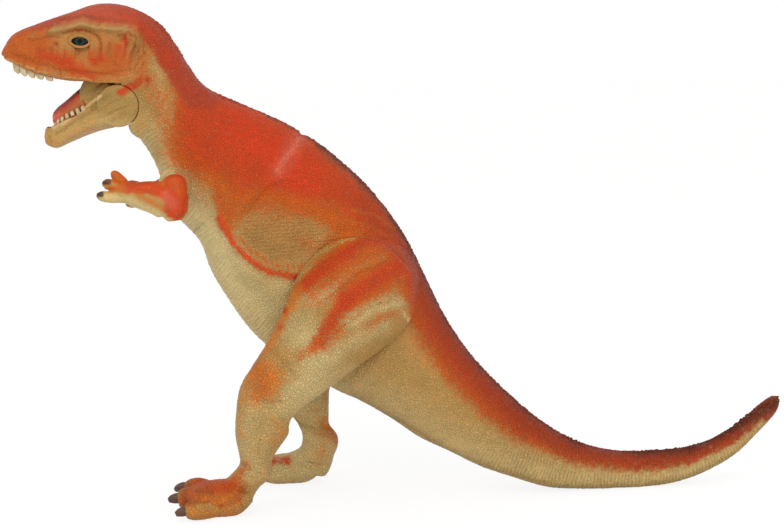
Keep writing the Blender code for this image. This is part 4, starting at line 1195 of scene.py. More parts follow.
@dataclass
class Trunk:
    """The two glued shells of the trunk: skull, neck and chest in front, belly, hips and tail behind."""

    sides: int = 208
    seam: float = 20.0
    seat_radius: float = 0.00806
    cheek_flat: float = 0.0119
    web_reach: float = 0.01675
    web_half_width: float = 0.0072
    cheek_reach: float = 0.0114
    cheek_half_width: float = 0.0098
    lug_radius: float = 0.0046
    lug_half_width: float = 0.0035
    lip_wall: float = 0.0017
    palate_depth: float = 0.0060
    roof_low: float = 0.1595
    roof_rear: float = -0.107
    throat_low: float = 0.155
    throat: Spot = (80.0, 160.0)
    cheeks: Spot = (83.0, 166.0)
    roof_places: Spot = (27.6, 31.45)
    throat_gap: float = 0.00033
    cheek_gap: float = 0.00031
    shoulder_radius: float = 0.0050
    hip_flat: float = 0.0190
    hip_radius: float = 0.050
    head_row: int = 24
    sharp_angle: float = math.radians(60)
    steps: tuple[Spot, ...] = ((0, 0.60), (9, 0.60), (12, 0.62), (17, 0.60), (22, 0.52), (24, 0.38), (32, 0.34))

    def middles(self, places: Array) -> Array:
        """Return the middles of the spine's stations in the side view."""
        rows = rows_at(SPINE, places)
        return (rows[:, 0:2] + rows[:, 2:4]) / 2.0 * FIGURE.side

    def arc_of(self, places: Array) -> Array:
        """Return the distance along the spine from the tail's tip to places on it, in millimetres."""
        fine = np.linspace(0.0, len(SPINE) - 1.0, 1600)
        step = np.linalg.norm(np.diff(self.middles(fine), axis=0), axis=1)
        return np.interp(places, fine, np.concatenate([[0.0], np.cumsum(step)])) / MM

    def places(self) -> Array:
        """Return places along the spine for the rings, closer where the skin is finer."""
        fine = np.linspace(0.0, len(SPINE) - 1.0, 1600)
        pitch = np.interp(fine[:-1], *zip(*self.steps))
        count = np.concatenate([[0.0], np.cumsum(np.maximum(np.diff(self.arc_of(fine)), 0.05) / pitch)])
        return np.interp(np.linspace(0.0, count[-1], int(count[-1]) + 1), count, fine)

    def skin_of(self, name: str, rings: Array, places: Array) -> Skin:
        """Make a skin through rings of the trunk.

        Args:
            name: Name of the piece.
            rings: Rings, points and coordinates.
            places: Where the rings stand along the spine.

        Returns:
            The skin, which knows where its points stand along the spine.
        """
        sway = rows_at(SPINE, places)[:, 5] * FIGURE.tail_sway
        along, fold = (np.concatenate([np.repeat(values, self.sides), values[[0, -1]]]) for values in (places, sway))
        return Skin(name, grid_mesh(name, rings), fold, along)

    def ease_flanks(self, rings: Array) -> None:
        """Ease the flanks in where the thighs swing, and the neck in beside the jaw's seat.

        Args:
            rings: Rings of the trunk, which are changed.
        """
        side, width = np.sign(rings[..., 1]), np.abs(rings[..., 1])
        far = apart(rings, FIGURE.hip)
        room = self.hip_flat + np.maximum(far - self.hip_radius, 0.0) * 0.5
        eased = np.where(width > room, room + (width - room) * 0.15, width)
        near_hip = smooth((0.026 - far) / 0.006) * np.abs(side)
        width = np.maximum(eased, near_hip * self.hip_flat * smooth(width / 0.006))
        room = self.cheek_flat + np.maximum(apart(rings, FIGURE.hinge) - self.seat_radius, 0.0) * 0.45
        rings[..., 1] = side * np.where(width > room, room + (width - room) * 0.25, width)

    def emboss_body(self, skin: Skin) -> None:
        """Raise the folds, muscles and scales of the trunk.

        Args:
            skin: Skin of the whole trunk.
        """
        skin.emboss(BODY_RIDGES)
        skin.emboss(HEAD_RIDGES, 1.8)
        points = skin.points
        aside = smooth((np.abs(skin.ways[:, 1]) - 0.2) / 0.4)
        lumps = ripple(points, 0.016, 2.2) * 0.16 + ripple(points, 0.008, 5.1) * 0.08
        head = smooth((-0.088 - points[:, 0]) / 0.012)
        tail = smooth((points[:, 0] - 0.02) / 0.06)
        skin.push(lumps * aside * (1.0 - 0.5 * head))
        belly = near(BELLY_LINE, skin.spots, 24.0, 14.0)
        skin.pebble(1.25, 0.15, (1.0 - belly) * (1.0 - head * 0.35))
        skin.pebble(1.4, 0.45, near(DORSAL_LINE, skin.spots, 5.5, 4.0) * (1.0 - head * 0.4) * (1.0 + 0.7 * tail))
        fold = self.arc_of(skin.along) * (math.tau / 2.7) + ripple(skin.spots, 26.0, 1.9) * 2.4
        skin.push(np.sin(fold) * belly * 0.07)

    def settle_form(self, skin: Skin) -> None:
        """Sink the skin where the eyes are pressed in, and keep the tail's underside flat on the ground.

        Args:
            skin: Skin of the whole trunk.
        """
        points = skin.points
        socket = smooth((1.12 - Eyes().almond(skin.spots)) / 0.25) * 2.4 * MM
        for side in (-1.0, 1.0):
            points[:, 1] -= side * socket * (points[:, 1] * side > 0.004)
        points[:, 2] = np.maximum(points[:, 2], 0.0)
        place_points(skin.mesh, points)

    def body_wrinkles(self, skin: Skin) -> Array:
        """Lay out the fine folds of the belly, tail and flank.

        Args:
            skin: A shell's skin, which takes the way that the folds run in.

        Returns:
            How deep the folds are at each point.
        """
        tail = smooth((13.0 - skin.along) / 3.0)
        low = near(TAIL_LOW, skin.spots, 26.0, 12.0) * tail
        belly = near(BELLY_LINE, skin.spots, 22.0, 12.0)
        flank = Mark(FLANK_AREA, 0.0, 14.0, True).cover(skin.spots)
        down = skin.spots[:, 1] * 0.38 + skin.spots[:, 0] * 0.03
        skin.arc = np.where(flank > 0.02, down, self.arc_of(skin.along))
        return np.maximum.reduce([low * 0.95, tail * 0.75, belly * 0.60, flank * 0.60])

    def place_shell(self, skin: Skin, node: str, material: Material) -> None:
        """Paint a shell and put it in place of its node.

        Args:
            skin: The shell's skin.
            node: The node that it stands for.
            material: Its finish.
        """
        points = skin.points
        belly = near(BELLY_LINE, skin.spots, 22.0, 12.0)
        low = near(TAIL_LOW, skin.spots, 20.0, 10.0) * smooth(points[:, 0] / 0.03)
        face = smooth((-0.092 - points[:, 0]) / 0.01)
        scales = 1.0 - 0.8 * np.maximum(belly, low * 0.6) - 0.35 * face * (1.0 - belly)
        coats = skin.coats(BODY_BASE, BODY_COAT)
        if node == "front_body":
            coats[self.inside_mouth(skin), :6] = np.tile(Tone.MOUTH.linear, 2)
        skin.lay(coats, np.clip(scales, 0.1, 1.0), self.body_wrinkles(skin))
        skin.edge_angle = self.sharp_angle
        skin.show(material, "body", node)

    def inside_mouth(self, skin: Skin) -> Array:
        """Find the roof of the mouth and the jaw's seat.

        Args:
            skin: Skin of the front shell.

        Returns:
            Whether each point is in one of them.
        """
        points, ways = skin.points, skin.ways
        hinge = FIGURE.hinge
        angle = np.degrees(np.arctan2(points[:, 2] - hinge[2], points[:, 0] - hinge[0]))
        low = np.array([row[2] for row in SPINE[self.head_row:]]) * FIGURE.length
        place = np.interp(-points[:, 0], -low, np.arange(self.head_row, len(SPINE)))
        width = rows_at(SPINE, np.clip(place, 0, len(SPINE) - 1))[:, 4] * FIGURE.body_half_width
        roof = (ways[:, 2] < -0.3) & (points[:, 2] > self.roof_low) & (points[:, 0] < self.roof_rear) & (
            np.abs(points[:, 1]) < width - self.lip_wall * 0.8)
        seat = (np.abs(points[:, 1]) < self.web_half_width + 0.5 * MM) & (
            apart(points, hinge) < self.web_reach + 0.3 * MM) & (angle > self.throat[0] - 1.0) & (
            angle < self.throat[1] + 1.0) & (points[:, 2] > self.throat_low)
        return roof | seat

    def mouth_cutters(self) -> list[Array]:
        """Return the forms that open the mouth: its roof, the throat, the cheeks' room and the jaw's seat."""
        hinge = FIGURE.hinge
        lips = [lip(SPINE, place, True, FIGURE.body_half_width) for place in np.linspace(*self.roof_places, 16)]
        roof = hollow(lips, [min(self.palate_depth, tall * 0.5) for *_, tall in lips], self.lip_wall, 1.0)
        throat = slab(sector(hinge, 0.004, self.web_reach, *self.throat), self.web_half_width + self.throat_gap)
        cheeks = slab(sector(hinge, 0.0041, self.cheek_reach, *self.cheeks), self.cheek_half_width + self.cheek_gap)
        return [roof, throat, cheeks, drum(hinge, self.seat_radius, 0.030)]

    def fittings(self) -> list[Mesh]:
        """Return the lug that carries the jaw's pin, its root, and the stubs that the arms turn on."""
        hinge, radius = FIGURE.hinge, self.shoulder_radius
        half, height = self.lug_half_width, self.lug_radius * 0.62
        far = hinge[0] + self.seat_radius + 0.002
        root = np.array([(hinge[0], hinge[2] + height), (hinge[0], hinge[2] - height),
                         (far, hinge[2] - height), (far, hinge[2] + height)])
        forms = [drum(hinge, self.lug_radius, half), slab(root, half - 0.0003)]
        profile = ((0.2 * MM, 0.0), (0.86 * radius, 0.0), (radius, 0.5), (radius, 1.4), (1.12 * radius, 3.0),
                   (1.45 * radius, 5.0), (0.2 * MM, 9.0))
        for side in (-1.0, 1.0):
            stub = [(out, side * (SEAT_OFFSET - depth * MM)) for out, depth in profile]
            forms.append(turned(FIGURE.shoulder, stub))
        return [grid_mesh("fitting", rings) for rings in forms]

    def build(self, material: Material) -> None:
        """Build and place both shells.

        Args:
            material: The painted vinyl.
        """
        places = self.places()
        rings = sections(rows_at(SPINE, places), FIGURE.body_half_width, FIGURE.tail_sway, self.sides)
        self.ease_flanks(rings)
        whole = self.skin_of("trunk_form", rings, places)
        self.emboss_body(whole)
        self.settle_form(whole)
        rings = whole.points[:-2].reshape(-1, self.sides, 3)
        cut = int(np.searchsorted(places, self.seam))
        rear = self.skin_of("rear_body_shell", rings[:cut + 1], places[:cut + 1])
        self.place_shell(rear, "rear_body", material)
        mesh = carved("front_body_shell", grid_mesh("front_body_form", rings[cut:]), self.mouth_cutters())
        front = Skin("front_body_shell", joined("front_body_shell", [mesh] + self.fittings()))
        front.along = self.nearest_along(front.points)
        self.place_shell(front, "front_body", material)

    def nearest_along(self, points: Array, batch: int = 20000) -> Array:
        """Find about where along the spine points of the front shell stand.

        Args:
            points: Points, one to a row.
            batch: How many are worked out at a time.

        Returns:
            A place along the spine for each.
        """
        fine = np.linspace(self.seam, 32.0, 240)
        middles = self.middles(fine)
        nearest = [np.argmin(np.linalg.norm(points[start:start + batch, None, ::2] - middles, axis=2), axis=1)
                   for start in range(0, len(points), batch)]
        return fine[np.concatenate(nearest)]


# The head's small pieces


@dataclass
class Eyes:
    """The two painted eye beads and the lids moulded round them."""

    middle: Spot = (79.8, 41.2)
    half_length: float = 9.4
    half_height: float = 5.5
    slant: float = 0.4
    across: float = 0.0123
    bulge: float = 0.0011
    rings: int = 26
    sides: int = 64
    lid: float = 0.00045
    bands: tuple[Row, ...] = (
        (0.0, 0.001, 0.002, 0.002), (2.3, 0.001, 0.002, 0.002), (2.8, 0.014, 0.030, 0.022),
        (3.8, 0.024, 0.046, 0.032), (4.8, 0.004, 0.008, 0.006), (9.5, 0.002, 0.003, 0.003),
    )

    def almond(self, spots: Array) -> Array:
        """Return how far out each pixel is from the eye's middle, where 1 is the almond's edge."""
        right = (spots[:, 0] - self.middle[0]) / self.half_length
        rise = (spots[:, 1] - self.middle[1] - right * self.slant) / self.half_height
        return np.sqrt(right ** 2 + rise ** 2 + 0.35 * (right * rise) ** 2)

    def outline(self, sides: int, share: float = 1.0) -> Array:
        """Return pixels round the almond, at a share of its size.

        Args:
            sides: How many pixels.
            share: Share of the almond's size.

        Returns:
            The pixels, one to a row.
        """
        right, rise = round_of(sides)
        pinch = 1.0 - 0.16 * np.abs(right) ** 3 * np.abs(rise)
        shift = np.stack([right * self.half_length, rise * self.half_height * pinch + right * self.slant], axis=1)
        return self.middle + shift * share

    def bead(self, side: float) -> tuple[Array, Array]:
        """Draw one bead.

        Args:
            side: The side of the figure.

        Returns:
            Its rings of points, and the linear paint of each point.
        """
        rings, tints = [], []
        shares = [1.0] + [1.0 - 0.9 * (step / self.rings) ** 1.1 for step in range(self.rings)] + [0.03]
        for step, share in enumerate(shares):
            dome = self.bulge * math.sqrt(max(1.0 - (share * 0.94) ** 2, 0.0))
            out = self.across - 1.2 * MM + dome - (1.9 * MM if step == 0 else 0.0)
            spots = self.outline(self.sides, share)
            rings.append(VIEW.points(spots, -out) * (1.0, -side, 1.0))
            far = np.linalg.norm(spots - self.middle, axis=1)
            marks, *paints = zip(*self.bands)
            tints.append(np.stack([np.interp(far, marks, paint) for paint in paints], axis=1))
        return np.array(rings), np.concatenate(tints + [tints[0][:1], tints[-1][:1]])

    def build(self, bead_finish: Material, lid_finish: Material) -> None:
        """Build and place both beads and their lids.

        Args:
            bead_finish: Finish of the beads.
            lid_finish: Finish of the lids.
        """
        for side, name in ((-1.0, "left"), (1.0, "right")):
            rings, tints = self.bead(side)
            skin = Skin(f"{name}_eye_bead", grid_mesh(f"{name}_eye_bead", rings), None)
            skin.lay_colour("BaseCoat", tints)
            skin.show(bead_finish, "body", f"{name}_eye")
            skin = Skin(f"{name}_eyelid", grid_mesh(f"{name}_eyelid", self.lid_rings(side), True))
            # The olive line along the top of the lid is painted shade under the brow.
            skin.lay(skin.coats((line((66, 38, 79, 35, 93, 40), 2.2, Tone.OLIVE, 0.6, 2.0),), (), Tone.DULL_TAN,
                                0.0), 0.35)
            skin.show(lid_finish, "body")

    def lid_rings(self, side: float, count: int = 72) -> Array:
        """Draw the rim of skin round one eye, thicker above it.

        Args:
            side: The side of the figure.
            count: How many rings.

        Returns:
            Rings, points and coordinates.
        """
        right, rise = (part[:, None] for part in round_of(count))
        ahead, out = round_of(12)
        middle = self.across - 0.15 * MM
        rings = np.repeat(VIEW.points(self.outline(count, 1.06), -middle)[:, None], 12, axis=1)
        thick = self.lid * np.where(rise < 0.0, 1.25, 0.95)
        rings[..., 0] += right * ahead * thick * 1.2
        rings[..., 2] -= rise * ahead * thick * 1.2
        rings[..., 1] = side * (middle + out * thick)
        return rings


# Stations of the lower jaw from its tip to the mouth's corner, as in the spine.
JAW: tuple[Row, ...] = (
    (-0.4475, 0.75, -0.448, 0.731, 0.16, 0, 2.3), (-0.445, 0.757, -0.446, 0.722, 0.28, 0, 2.3),
    (-0.435, 0.763, -0.433, 0.715, 0.47, 0, 2.3), (-0.424, 0.775, -0.415, 0.727, 0.62, 0, 2.3),
    (-0.409, 0.789, -0.394, 0.741, 0.75, 0, 2.4), (-0.394, 0.803, -0.376, 0.751, 0.87, 0, 2.8),
    (-0.378, 0.816, -0.36, 0.757, 0.95, 0, 3.4), (-0.3505, 0.8395, -0.3505, 0.764, 0.99, 0, 3.6),
)

JAW_RIDGES: tuple[Ridge, ...] = (
    Ridge((53, 128, 62, 123, 74, 114.5, 87, 106, 99, 96.5), 1.9, 0.4),
    Ridge((56, 134, 66, 128, 78, 120, 92, 110, 106, 100), 2, -0.35),
    Ridge((60, 142, 74, 135, 90, 127, 108, 121), 4, 0.35),
    Ridge((86, 98, 96, 90, 108, 85), 3, 0.25),
    Ridge((92, 106, 104, 98, 118, 92), 1.5, -0.3),
    Ridge((98, 112, 110, 104, 124, 98), 1.5, -0.3),
    Ridge((102, 118, 116, 111, 130, 106), 1.5, -0.25),
    Ridge((48, 136, 52, 142), 1.4, -0.25),
)

JAW_BASE: tuple[Spray, ...] = (
    line((60, 142, 80, 132, 104, 122, 130, 124), 7, Tone.CREAM, 0.3, 7),
    # Painted shade: olive on the skin at the mouth's corner, under the upper lip.
    line((84, 92, 98, 88, 112, 84), 9, Tone.OLIVE, 0.5, 7),
    line((100, 104, 120, 104, 132, 112), 13, Tone.OLIVE, 0.4, 9),
    line((98, 84, 112, 84), 4, Tone.DULL_TAN, 0.5, 4),
    # Painted shade: these three olive lines lie in the jaw's folds.
    line((94, 102, 112, 96, 126, 92), 4, Tone.OLIVE, 0.45, 4),
    line((102, 112, 120, 104, 134, 98), 3, Tone.OLIVE, 0.35, 4),
    line((108, 122, 124, 114, 138, 112), 3, Tone.OLIVE, 0.3, 4),
    line((54, 128, 62, 123.5, 74, 115, 87, 106.5, 99, 97), 1.6, Tone.PALE, 0.8, 1.6),
    # Painted shade: a thin olive line in the groove below the lower lip.
    line((57, 133, 66, 128, 78, 120, 92, 110.5), 1, Tone.OLIVE, 0.55, 1.4),
)

# The last strokes of the jaw's coat are painted shade in its folds.
JAW_COAT: tuple[Spray, ...] = (
    line((119, 93, 131, 86, 147, 80), 3.8, Tone.RED, 0.85, 2.6),
    line((48, 140, 62, 140, 78, 132, 92, 126), 5, Tone.AMBER, 0.3, 6),
) + creased(JAW_RIDGES, 0.3)


@dataclass
class LowerJaw:
    """The lower jaw, which turns on its pin, with its teeth and tongue."""

    rear_radius: float = 0.00786
    rear_half_width: float = 0.0121
    rim_share: float = 0.95
    web_radius: float = 0.01629
    web_half_width: float = 0.0070
    web_root: float = 0.004
    cheek_radius: float = 0.0109
    cheek_half_width: float = 0.0095
    base_half_width: float = 0.0122
    lip_wall: float = 0.0017
    depth: float = 0.0034
    floor_end: float = 5.1
    slot_radius: float = 0.0049
    slot_half_width: float = 0.0038
    pin_radius: float = 0.0018
    pin_half_length: float = 0.0083
    web_angles: Spot = (113.0, 196.0)
    cheek_angles: Spot = (116.0, 196.0)
    fork_angles: Spot = (-58.0, 66.0)
    voxel: float = 0.00034

    def web(self, reach: float, half_width: float, angles: Spot) -> Array:
        """Draw the skin at the mouth's corners, a bowed ring sector.

        Args:
            reach: Its outer radius.
            half_width: Half its width across.
            angles: Angles it runs between, in degrees.

        Returns:
            Rings, points and coordinates.
        """
        ahead, out = round_of(40, 0.45)
        share = (ahead + 1.0) / 2.0
        radius = self.web_root + share * (reach - self.web_root)
        across = out * half_width * (1.0 - 0.22 * share ** 2)
        return np.array([np.stack([FIGURE.hinge[0] + radius * math.cos(angle), across,
                                   FIGURE.hinge[2] + radius * math.sin(angle)], axis=1)
                         for angle in np.radians(np.linspace(*angles, 30))])

    def rear_disc(self) -> Array:
        """Return the rings of the domed round end that turns in the skull's seat."""
        rim = [(self.rear_radius * share,
                -self.rear_half_width * math.sqrt(1.0 - (1.0 - self.rim_share ** 2) * share ** 2))
               for share in np.linspace(0.05, 1.0, 12)]
        return turned(FIGURE.hinge, rim + [(radius, -across) for radius, across in reversed(rim)])

    def rim(self, place: float) -> Lip:
        """Return the lower lips at a place along the jaw."""
        return lip(JAW, place, False, self.base_half_width)

    def cutters(self) -> list[Array]:
        """Return the forms of the mouth's floor, the lug's slot and fork, and the pin's bore."""
        places = np.linspace(1.15, self.floor_end, 20)
        depths = [max(self.depth * float(smooth((self.floor_end - place) / 0.8)), 0.2 * MM) for place in places]
        floor = hollow([self.rim(place) for place in places], depths, self.lip_wall, 0.9)
        fork = slab(sector(FIGURE.hinge, 0.0015, self.rear_radius + 0.003, *self.fork_angles), self.slot_half_width)
        return [floor, drum(FIGURE.hinge, self.slot_radius, self.slot_half_width, 48), fork,
                drum(FIGURE.hinge, self.pin_radius, self.pin_half_length, 32)]

    def build(self, material: Material) -> None:
        """Build and place the jaw.

        Args:
            material: The painted vinyl.
        """
        name = "lower_jaw_skin"
        loft = sections(rows_at(JAW, np.linspace(0.0, len(JAW) - 1.0, 90)), self.base_half_width, 0.0, 96)
        forms = [loft, self.rear_disc(), self.web(self.web_radius, self.web_half_width, self.web_angles),
                 self.web(self.cheek_radius, self.cheek_half_width, self.cheek_angles)]
        skin = Skin(name, fused(name, forms, self.voxel, 8))
        far = apart(skin.points, FIGURE.hinge)
        skin.emboss(JAW_RIDGES, 1.3)
        skin.pebble(1.1, 0.09, smooth((np.abs(far - self.rear_radius) - 0.0004) / 0.001))
        skin = Skin(name, carved(name, skin.mesh, self.cutters()))
        coats = skin.coats(JAW_BASE, JAW_COAT)
        self.paint_inside(skin.points, coats)
        skin.lay(coats, 0.7)
        skin.show(material, "jaw", "lower_jaw")

    def paint_inside(self, points: Array, coats: Array) -> None:
        """Paint the coats of the points between the lips red, darker further down as painted shade in the mouth.

        Args:
            points: The jaw's points.
            coats: Their coats, which are changed.
        """
        middles, downs, halves, _ = (np.array(part) for part in zip(
            *(self.rim(float(place)) for place in np.linspace(1.0, 6.6, 60))))
        nearest = np.argmin(np.linalg.norm(points[:, None, ::2] - middles[None, :, ::2], axis=2), axis=1)
        below = np.einsum("ij,ij->i", points - middles[nearest], downs[nearest])
        inside = (below < self.depth + 0.3 * MM) & (below > 0.1 * MM) & (
            np.abs(points[:, 1]) < halves[nearest] - self.lip_wall * 0.86) & (
            apart(points, FIGURE.hinge) > self.web_radius - 0.2 * MM)
        # Painted shade: the red darkens with depth.
        share = smooth((below - 0.3 * MM) / (2.4 * MM))[:, None]
        tint = Tone.MOUTH.linear * (1.0 - share) + Tone.MOUTH_DARK.linear * share
        coats[inside, :6] = np.tile(tint, 2)[inside]


@dataclass
class Teeth:
    """The two moulded strips of teeth."""

    gum_width: float = 0.0015
    gum_height: float = 0.0014
    clearance: float = 0.0005
    lip_wall: float = 0.0017
    thickness: float = 0.00082
    upper_depth: float = 0.0024
    lower_depth: float = 0.0034
    upper_shares: tuple[float, ...] = (0.60, 0.68, 0.80, 0.92, 0.98)
    lower_shares: tuple[float, ...] = (0.80, 0.90, 0.95, 1.00, 0.95, 1.00, 0.85)

    def path(self, rim: Callable[[float], Lip], rear: float, corner: float, front: float,
             depth: float) -> tuple[Array, Array]:
        """Draw the middle of a gum strip from one rear end round the front to the other.

        Args:
            rim: Gives the lips at a place.
            rear: Place of the rear ends.
            corner: Place of the last teeth.
            front: Place of the front.
            depth: Depth of the hollow that the strip lies in.

        Returns:
            Points of the strip, and the way in to the skin at each.
        """
        inset = self.lip_wall + self.clearance + self.gum_width / 2.0
        lips = [rim(float(place)) for place in np.linspace(rear, corner, 14)] + [rim(front)]
        middles, inwards, halves, _ = (np.array(part) for part in zip(*lips))
        middles = middles + inwards * (depth - self.clearance - self.gum_height / 2.0)
        out = (halves - inset)[:-1, None] * np.array([0.0, 1.0, 0.0])
        points = np.concatenate([middles[:-1] - out, middles[-1:], (middles[:-1] + out)[::-1]])
        return points, np.concatenate([inwards, inwards[-2::-1]])

    def strip(self, points: Array, inwards: Array) -> Array:
        """Draw a rounded gum strip.

        Args:
            points: Points of its path.
            inwards: The way in to the skin at each.

        Returns:
            Rings, points and coordinates.
        """
        across = unit(np.cross(np.gradient(points, axis=0), inwards))
        out, deep = (part[None, :, None] for part in round_of(16, 0.6))
        return (points[:, None] + across[:, None] * out * (self.gum_width / 2.0)
                + inwards[:, None] * deep * (self.gum_height / 2.0))

    def tooth(self, root: Array, way: Array, ahead: Array, length: float, wide: float,
              lean: float) -> Array:
        """Draw one tooth.

        Args:
            root: Middle of its root.
            way: The way it points.
            ahead: The way along the strip.
            length: Its length in metres.
            wide: Its half width along the strip.
            lean: How far its tip leans back, as a share of its length.

        Returns:
            Rings, points and coordinates.
        """
        across = unit(np.cross(way, ahead))
        share = np.linspace(0.0, 1.0, 12)[:, None, None]
        body = (1.0 - 0.14 * share ** 1.4) * np.sqrt(np.maximum(
            1.0 - np.maximum(share - 0.72, 0.0) ** 2 / 0.0802, 0.004))
        along, out = (part[None, :, None] for part in round_of(16, 0.75))
        return (root + way * length * share - ahead * length * lean * share ** 2
                + ahead * along * wide * body + across * out * self.thickness * body)

    def row(self, points: Array, inwards: Array, length: float, shares: tuple[float, ...], wide: float,
            lean: float) -> list[Array]:
        """Draw the teeth along both sides of a strip.

        Args:
            points: Points of the strip.
            inwards: The way in to the skin at each.
            length: Length of the longest tooth.
            shares: Length of each tooth of a side, as a share of it.
            wide: Half width of a tooth along the strip.
            lean: How far the tips lean back.

        Returns:
            Rings, points and coordinates of each tooth.
        """
        half = len(points) // 2
        teeth = []
        for side in (points[:half], points[:half:-1]):
            for number, size in enumerate(shares):
                place = (number + 0.5) / len(shares) * (half - 1)
                index = min(int(place), half - 2)
                step = side[index + 1] - side[index]
                root = side[index] + step * (place - index)
                teeth.append(self.tooth(root, -inwards[index], unit(step), length * size, wide, lean))
        return teeth

    def build(self, material: Material) -> None:
        """Build and place both strips.

        Args:
            material: The plastic of the teeth.
        """
        def skull_rim(place: float) -> Lip:
            """Return the upper lips at a place along the spine."""
            return lip(SPINE, place, True, FIGURE.body_half_width)

        upper = self.path(skull_rim, 29.4, 30.95, 31.25, self.upper_depth)
        lower = self.path(LowerJaw().rim, 5.0, 1.9, 1.5, self.lower_depth)
        for name, body, path, sizes in (
                ("upper_teeth", "body", upper, (0.0041, self.upper_shares, 0.00162, 0.10)),
                ("lower_teeth", "jaw", lower, (0.0031, self.lower_shares, 0.00082, 0.12))):
            piece = dress(f"{name}_strip", [self.strip(*path)] + self.row(*path, *sizes), material)
            set_in_place(piece, body, name)


@dataclass
class Tongue:
    """The tongue on the floor of the lower jaw."""

    height: float = 0.0062
    side_gap: float = 0.0026
    rows: tuple[Row, ...] = (
        (1.75, 0.50, 0.72, 1.12), (1.95, 0.90, 0.46, 1.30), (2.30, 0.94, 0.05, 1.36), (2.80, 1.00, 0.05, 1.36),
        (3.40, 1.00, 0.05, 1.38), (3.95, 0.96, 0.05, 1.44), (4.60, 0.90, 0.05, 1.53), (5.20, 0.80, 0.05, 1.62),
    )

    def build(self, material: Material) -> None:
        """Build and place the tongue, with the groove along its middle.

        Args:
            material: The painted vinyl.
        """
        jaw = LowerJaw()
        up, out = round_of(48)
        dent = np.where(up > 0.0, 0.16 * np.exp(-(out / 0.22) ** 2), 0.0)
        rise, out = (bowed(up, 0.8) - dent)[:, None], out[:, None] * np.array([0.0, 1.0, 0.0])
        rings = []
        for place, wide, low, top in rows_at(self.rows, np.linspace(0.0, len(self.rows) - 1.0, 60)):
            middle, down, half, _ = jaw.rim(float(place))
            tall = self.height * (top - low)
            centre = middle + down * (jaw.depth - self.height * low - tall / 2.0)
            rings.append(centre - down * rise * (tall / 2.0) + out * (half - jaw.lip_wall - self.side_gap) * wide)
        skin = Skin("tongue_flesh", grid_mesh("tongue_flesh", np.array(rings)), None)
        skin.lay(skin.coats((
            line((64, 118, 80, 105, 94, 95), 5.0, Tone.DULL_TAN, 0.7, 5.0),
            line((46, 117, 66, 100.5, 86, 85), 2.4, Tone.MAROON, 0.9, 1.6),
            line((48, 122, 58, 116), 4.0, Tone.PINK, 0.5, 3.0),
        ), (), Tone.MOUTH), 0.2, 0.0, 0.5)
        skin.show(material, "jaw", "tongue")


@dataclass
class JawPin:
    """The turned pin of the jaw's hinge."""

    radius: float = 0.0015
    half_length: float = 0.0080
    edge: float = 0.0004

    def build(self, material: Material) -> None:
        """Build and place the pin, with rounded ends.

        Args:
            material: The plastic of the pin.
        """
        profile = [(self.radius - self.edge * (1.0 - math.sin(angle)),
                    self.edge * (1.0 - math.cos(angle)) - self.half_length)
                   for angle in np.linspace(0.0, math.pi / 2.0, 6)]
        profile += [(size, -across) for size, across in reversed(profile)]
        piece = dress("jaw_hinge_pin", [turned(FIGURE.hinge, profile, 40)], material)
        set_in_place(piece, "body", "jaw_pin")


# The limbs


# Stations of the legs from the hip to the ankle, as in the spine.
THIGH: tuple[Row, ...] = (
    (-0.014, 0.523, 0.003, 0.494, 0.2, 0.9, 2.3), (-0.03, 0.541, 0.011, 0.471, 0.45, 0.92, 2.3),
    (-0.071, 0.55, 0.013, 0.4, 0.82, 0.94, 2.3), (-0.1, 0.53, -0.004, 0.356, 0.96, 0.96, 2.3),
)
LEFT_LEG: tuple[Row, ...] = THIGH + (
    (-0.127, 0.484, -0.027, 0.327, 1, 0.99, 2.3), (-0.145, 0.418, -0.062, 0.29, 0.96, 1.04, 2.3),
    (-0.166, 0.351, -0.098, 0.25, 0.84, 1.1, 2.3), (-0.187, 0.298, -0.123, 0.221, 0.74, 1.13, 2.3),
    (-0.201, 0.258, -0.137, 0.199, 0.68, 1.14, 2.3), (-0.206, 0.205, -0.141, 0.181, 0.64, 1.14, 2.3),
    (-0.207, 0.165, -0.142, 0.165, 0.6, 1.13, 2.3), (-0.204, 0.134, -0.155, 0.134, 0.54, 1.11, 2.3),
    (-0.202, 0.109, -0.163, 0.109, 0.51, 1.08, 2.3), (-0.208, 0.09, -0.164, 0.078, 0.52, 1.04, 2.3),
    (-0.222, 0.066, -0.186, 0.047, 0.52, 1, 2.3),
)
RIGHT_LEG: tuple[Row, ...] = THIGH + (
    (-0.126, 0.479, -0.02, 0.33, 1, 0.99, 2.3), (-0.147, 0.415, -0.047, 0.287, 0.96, 1.04, 2.3),
    (-0.165, 0.351, -0.073, 0.25, 0.84, 1.1, 2.3), (-0.178, 0.293, -0.09, 0.218, 0.74, 1.09, 2.3),
    (-0.18, 0.239, -0.097, 0.191, 0.68, 1.05, 2.3), (-0.168, 0.189, -0.098, 0.162, 0.64, 1, 2.3),
    (-0.153, 0.149, -0.098, 0.138, 0.6, 0.95, 2.3), (-0.14, 0.125, -0.097, 0.117, 0.56, 0.91, 2.3),
    (-0.133, 0.098, -0.086, 0.092, 0.54, 0.88, 2.3), (-0.136, 0.07, -0.088, 0.064, 0.54, 0.86, 2.3),
    (-0.152, 0.056, -0.1, 0.042, 0.56, 0.84, 2.3),
)
# Shares of the foot's length, of its height above and below, and of its half width.
FOOT: tuple[Row, ...] = (
    (0.04, 0.66, 0.36, 0.34), (0.13, 0.88, 0.12, 0.64), (0.26, 1, -0.06, 0.86), (0.45, 0.98, -0.1, 0.98),
    (0.62, 0.88, -0.1, 1), (0.74, 0.62, -0.02, 0.84),
)
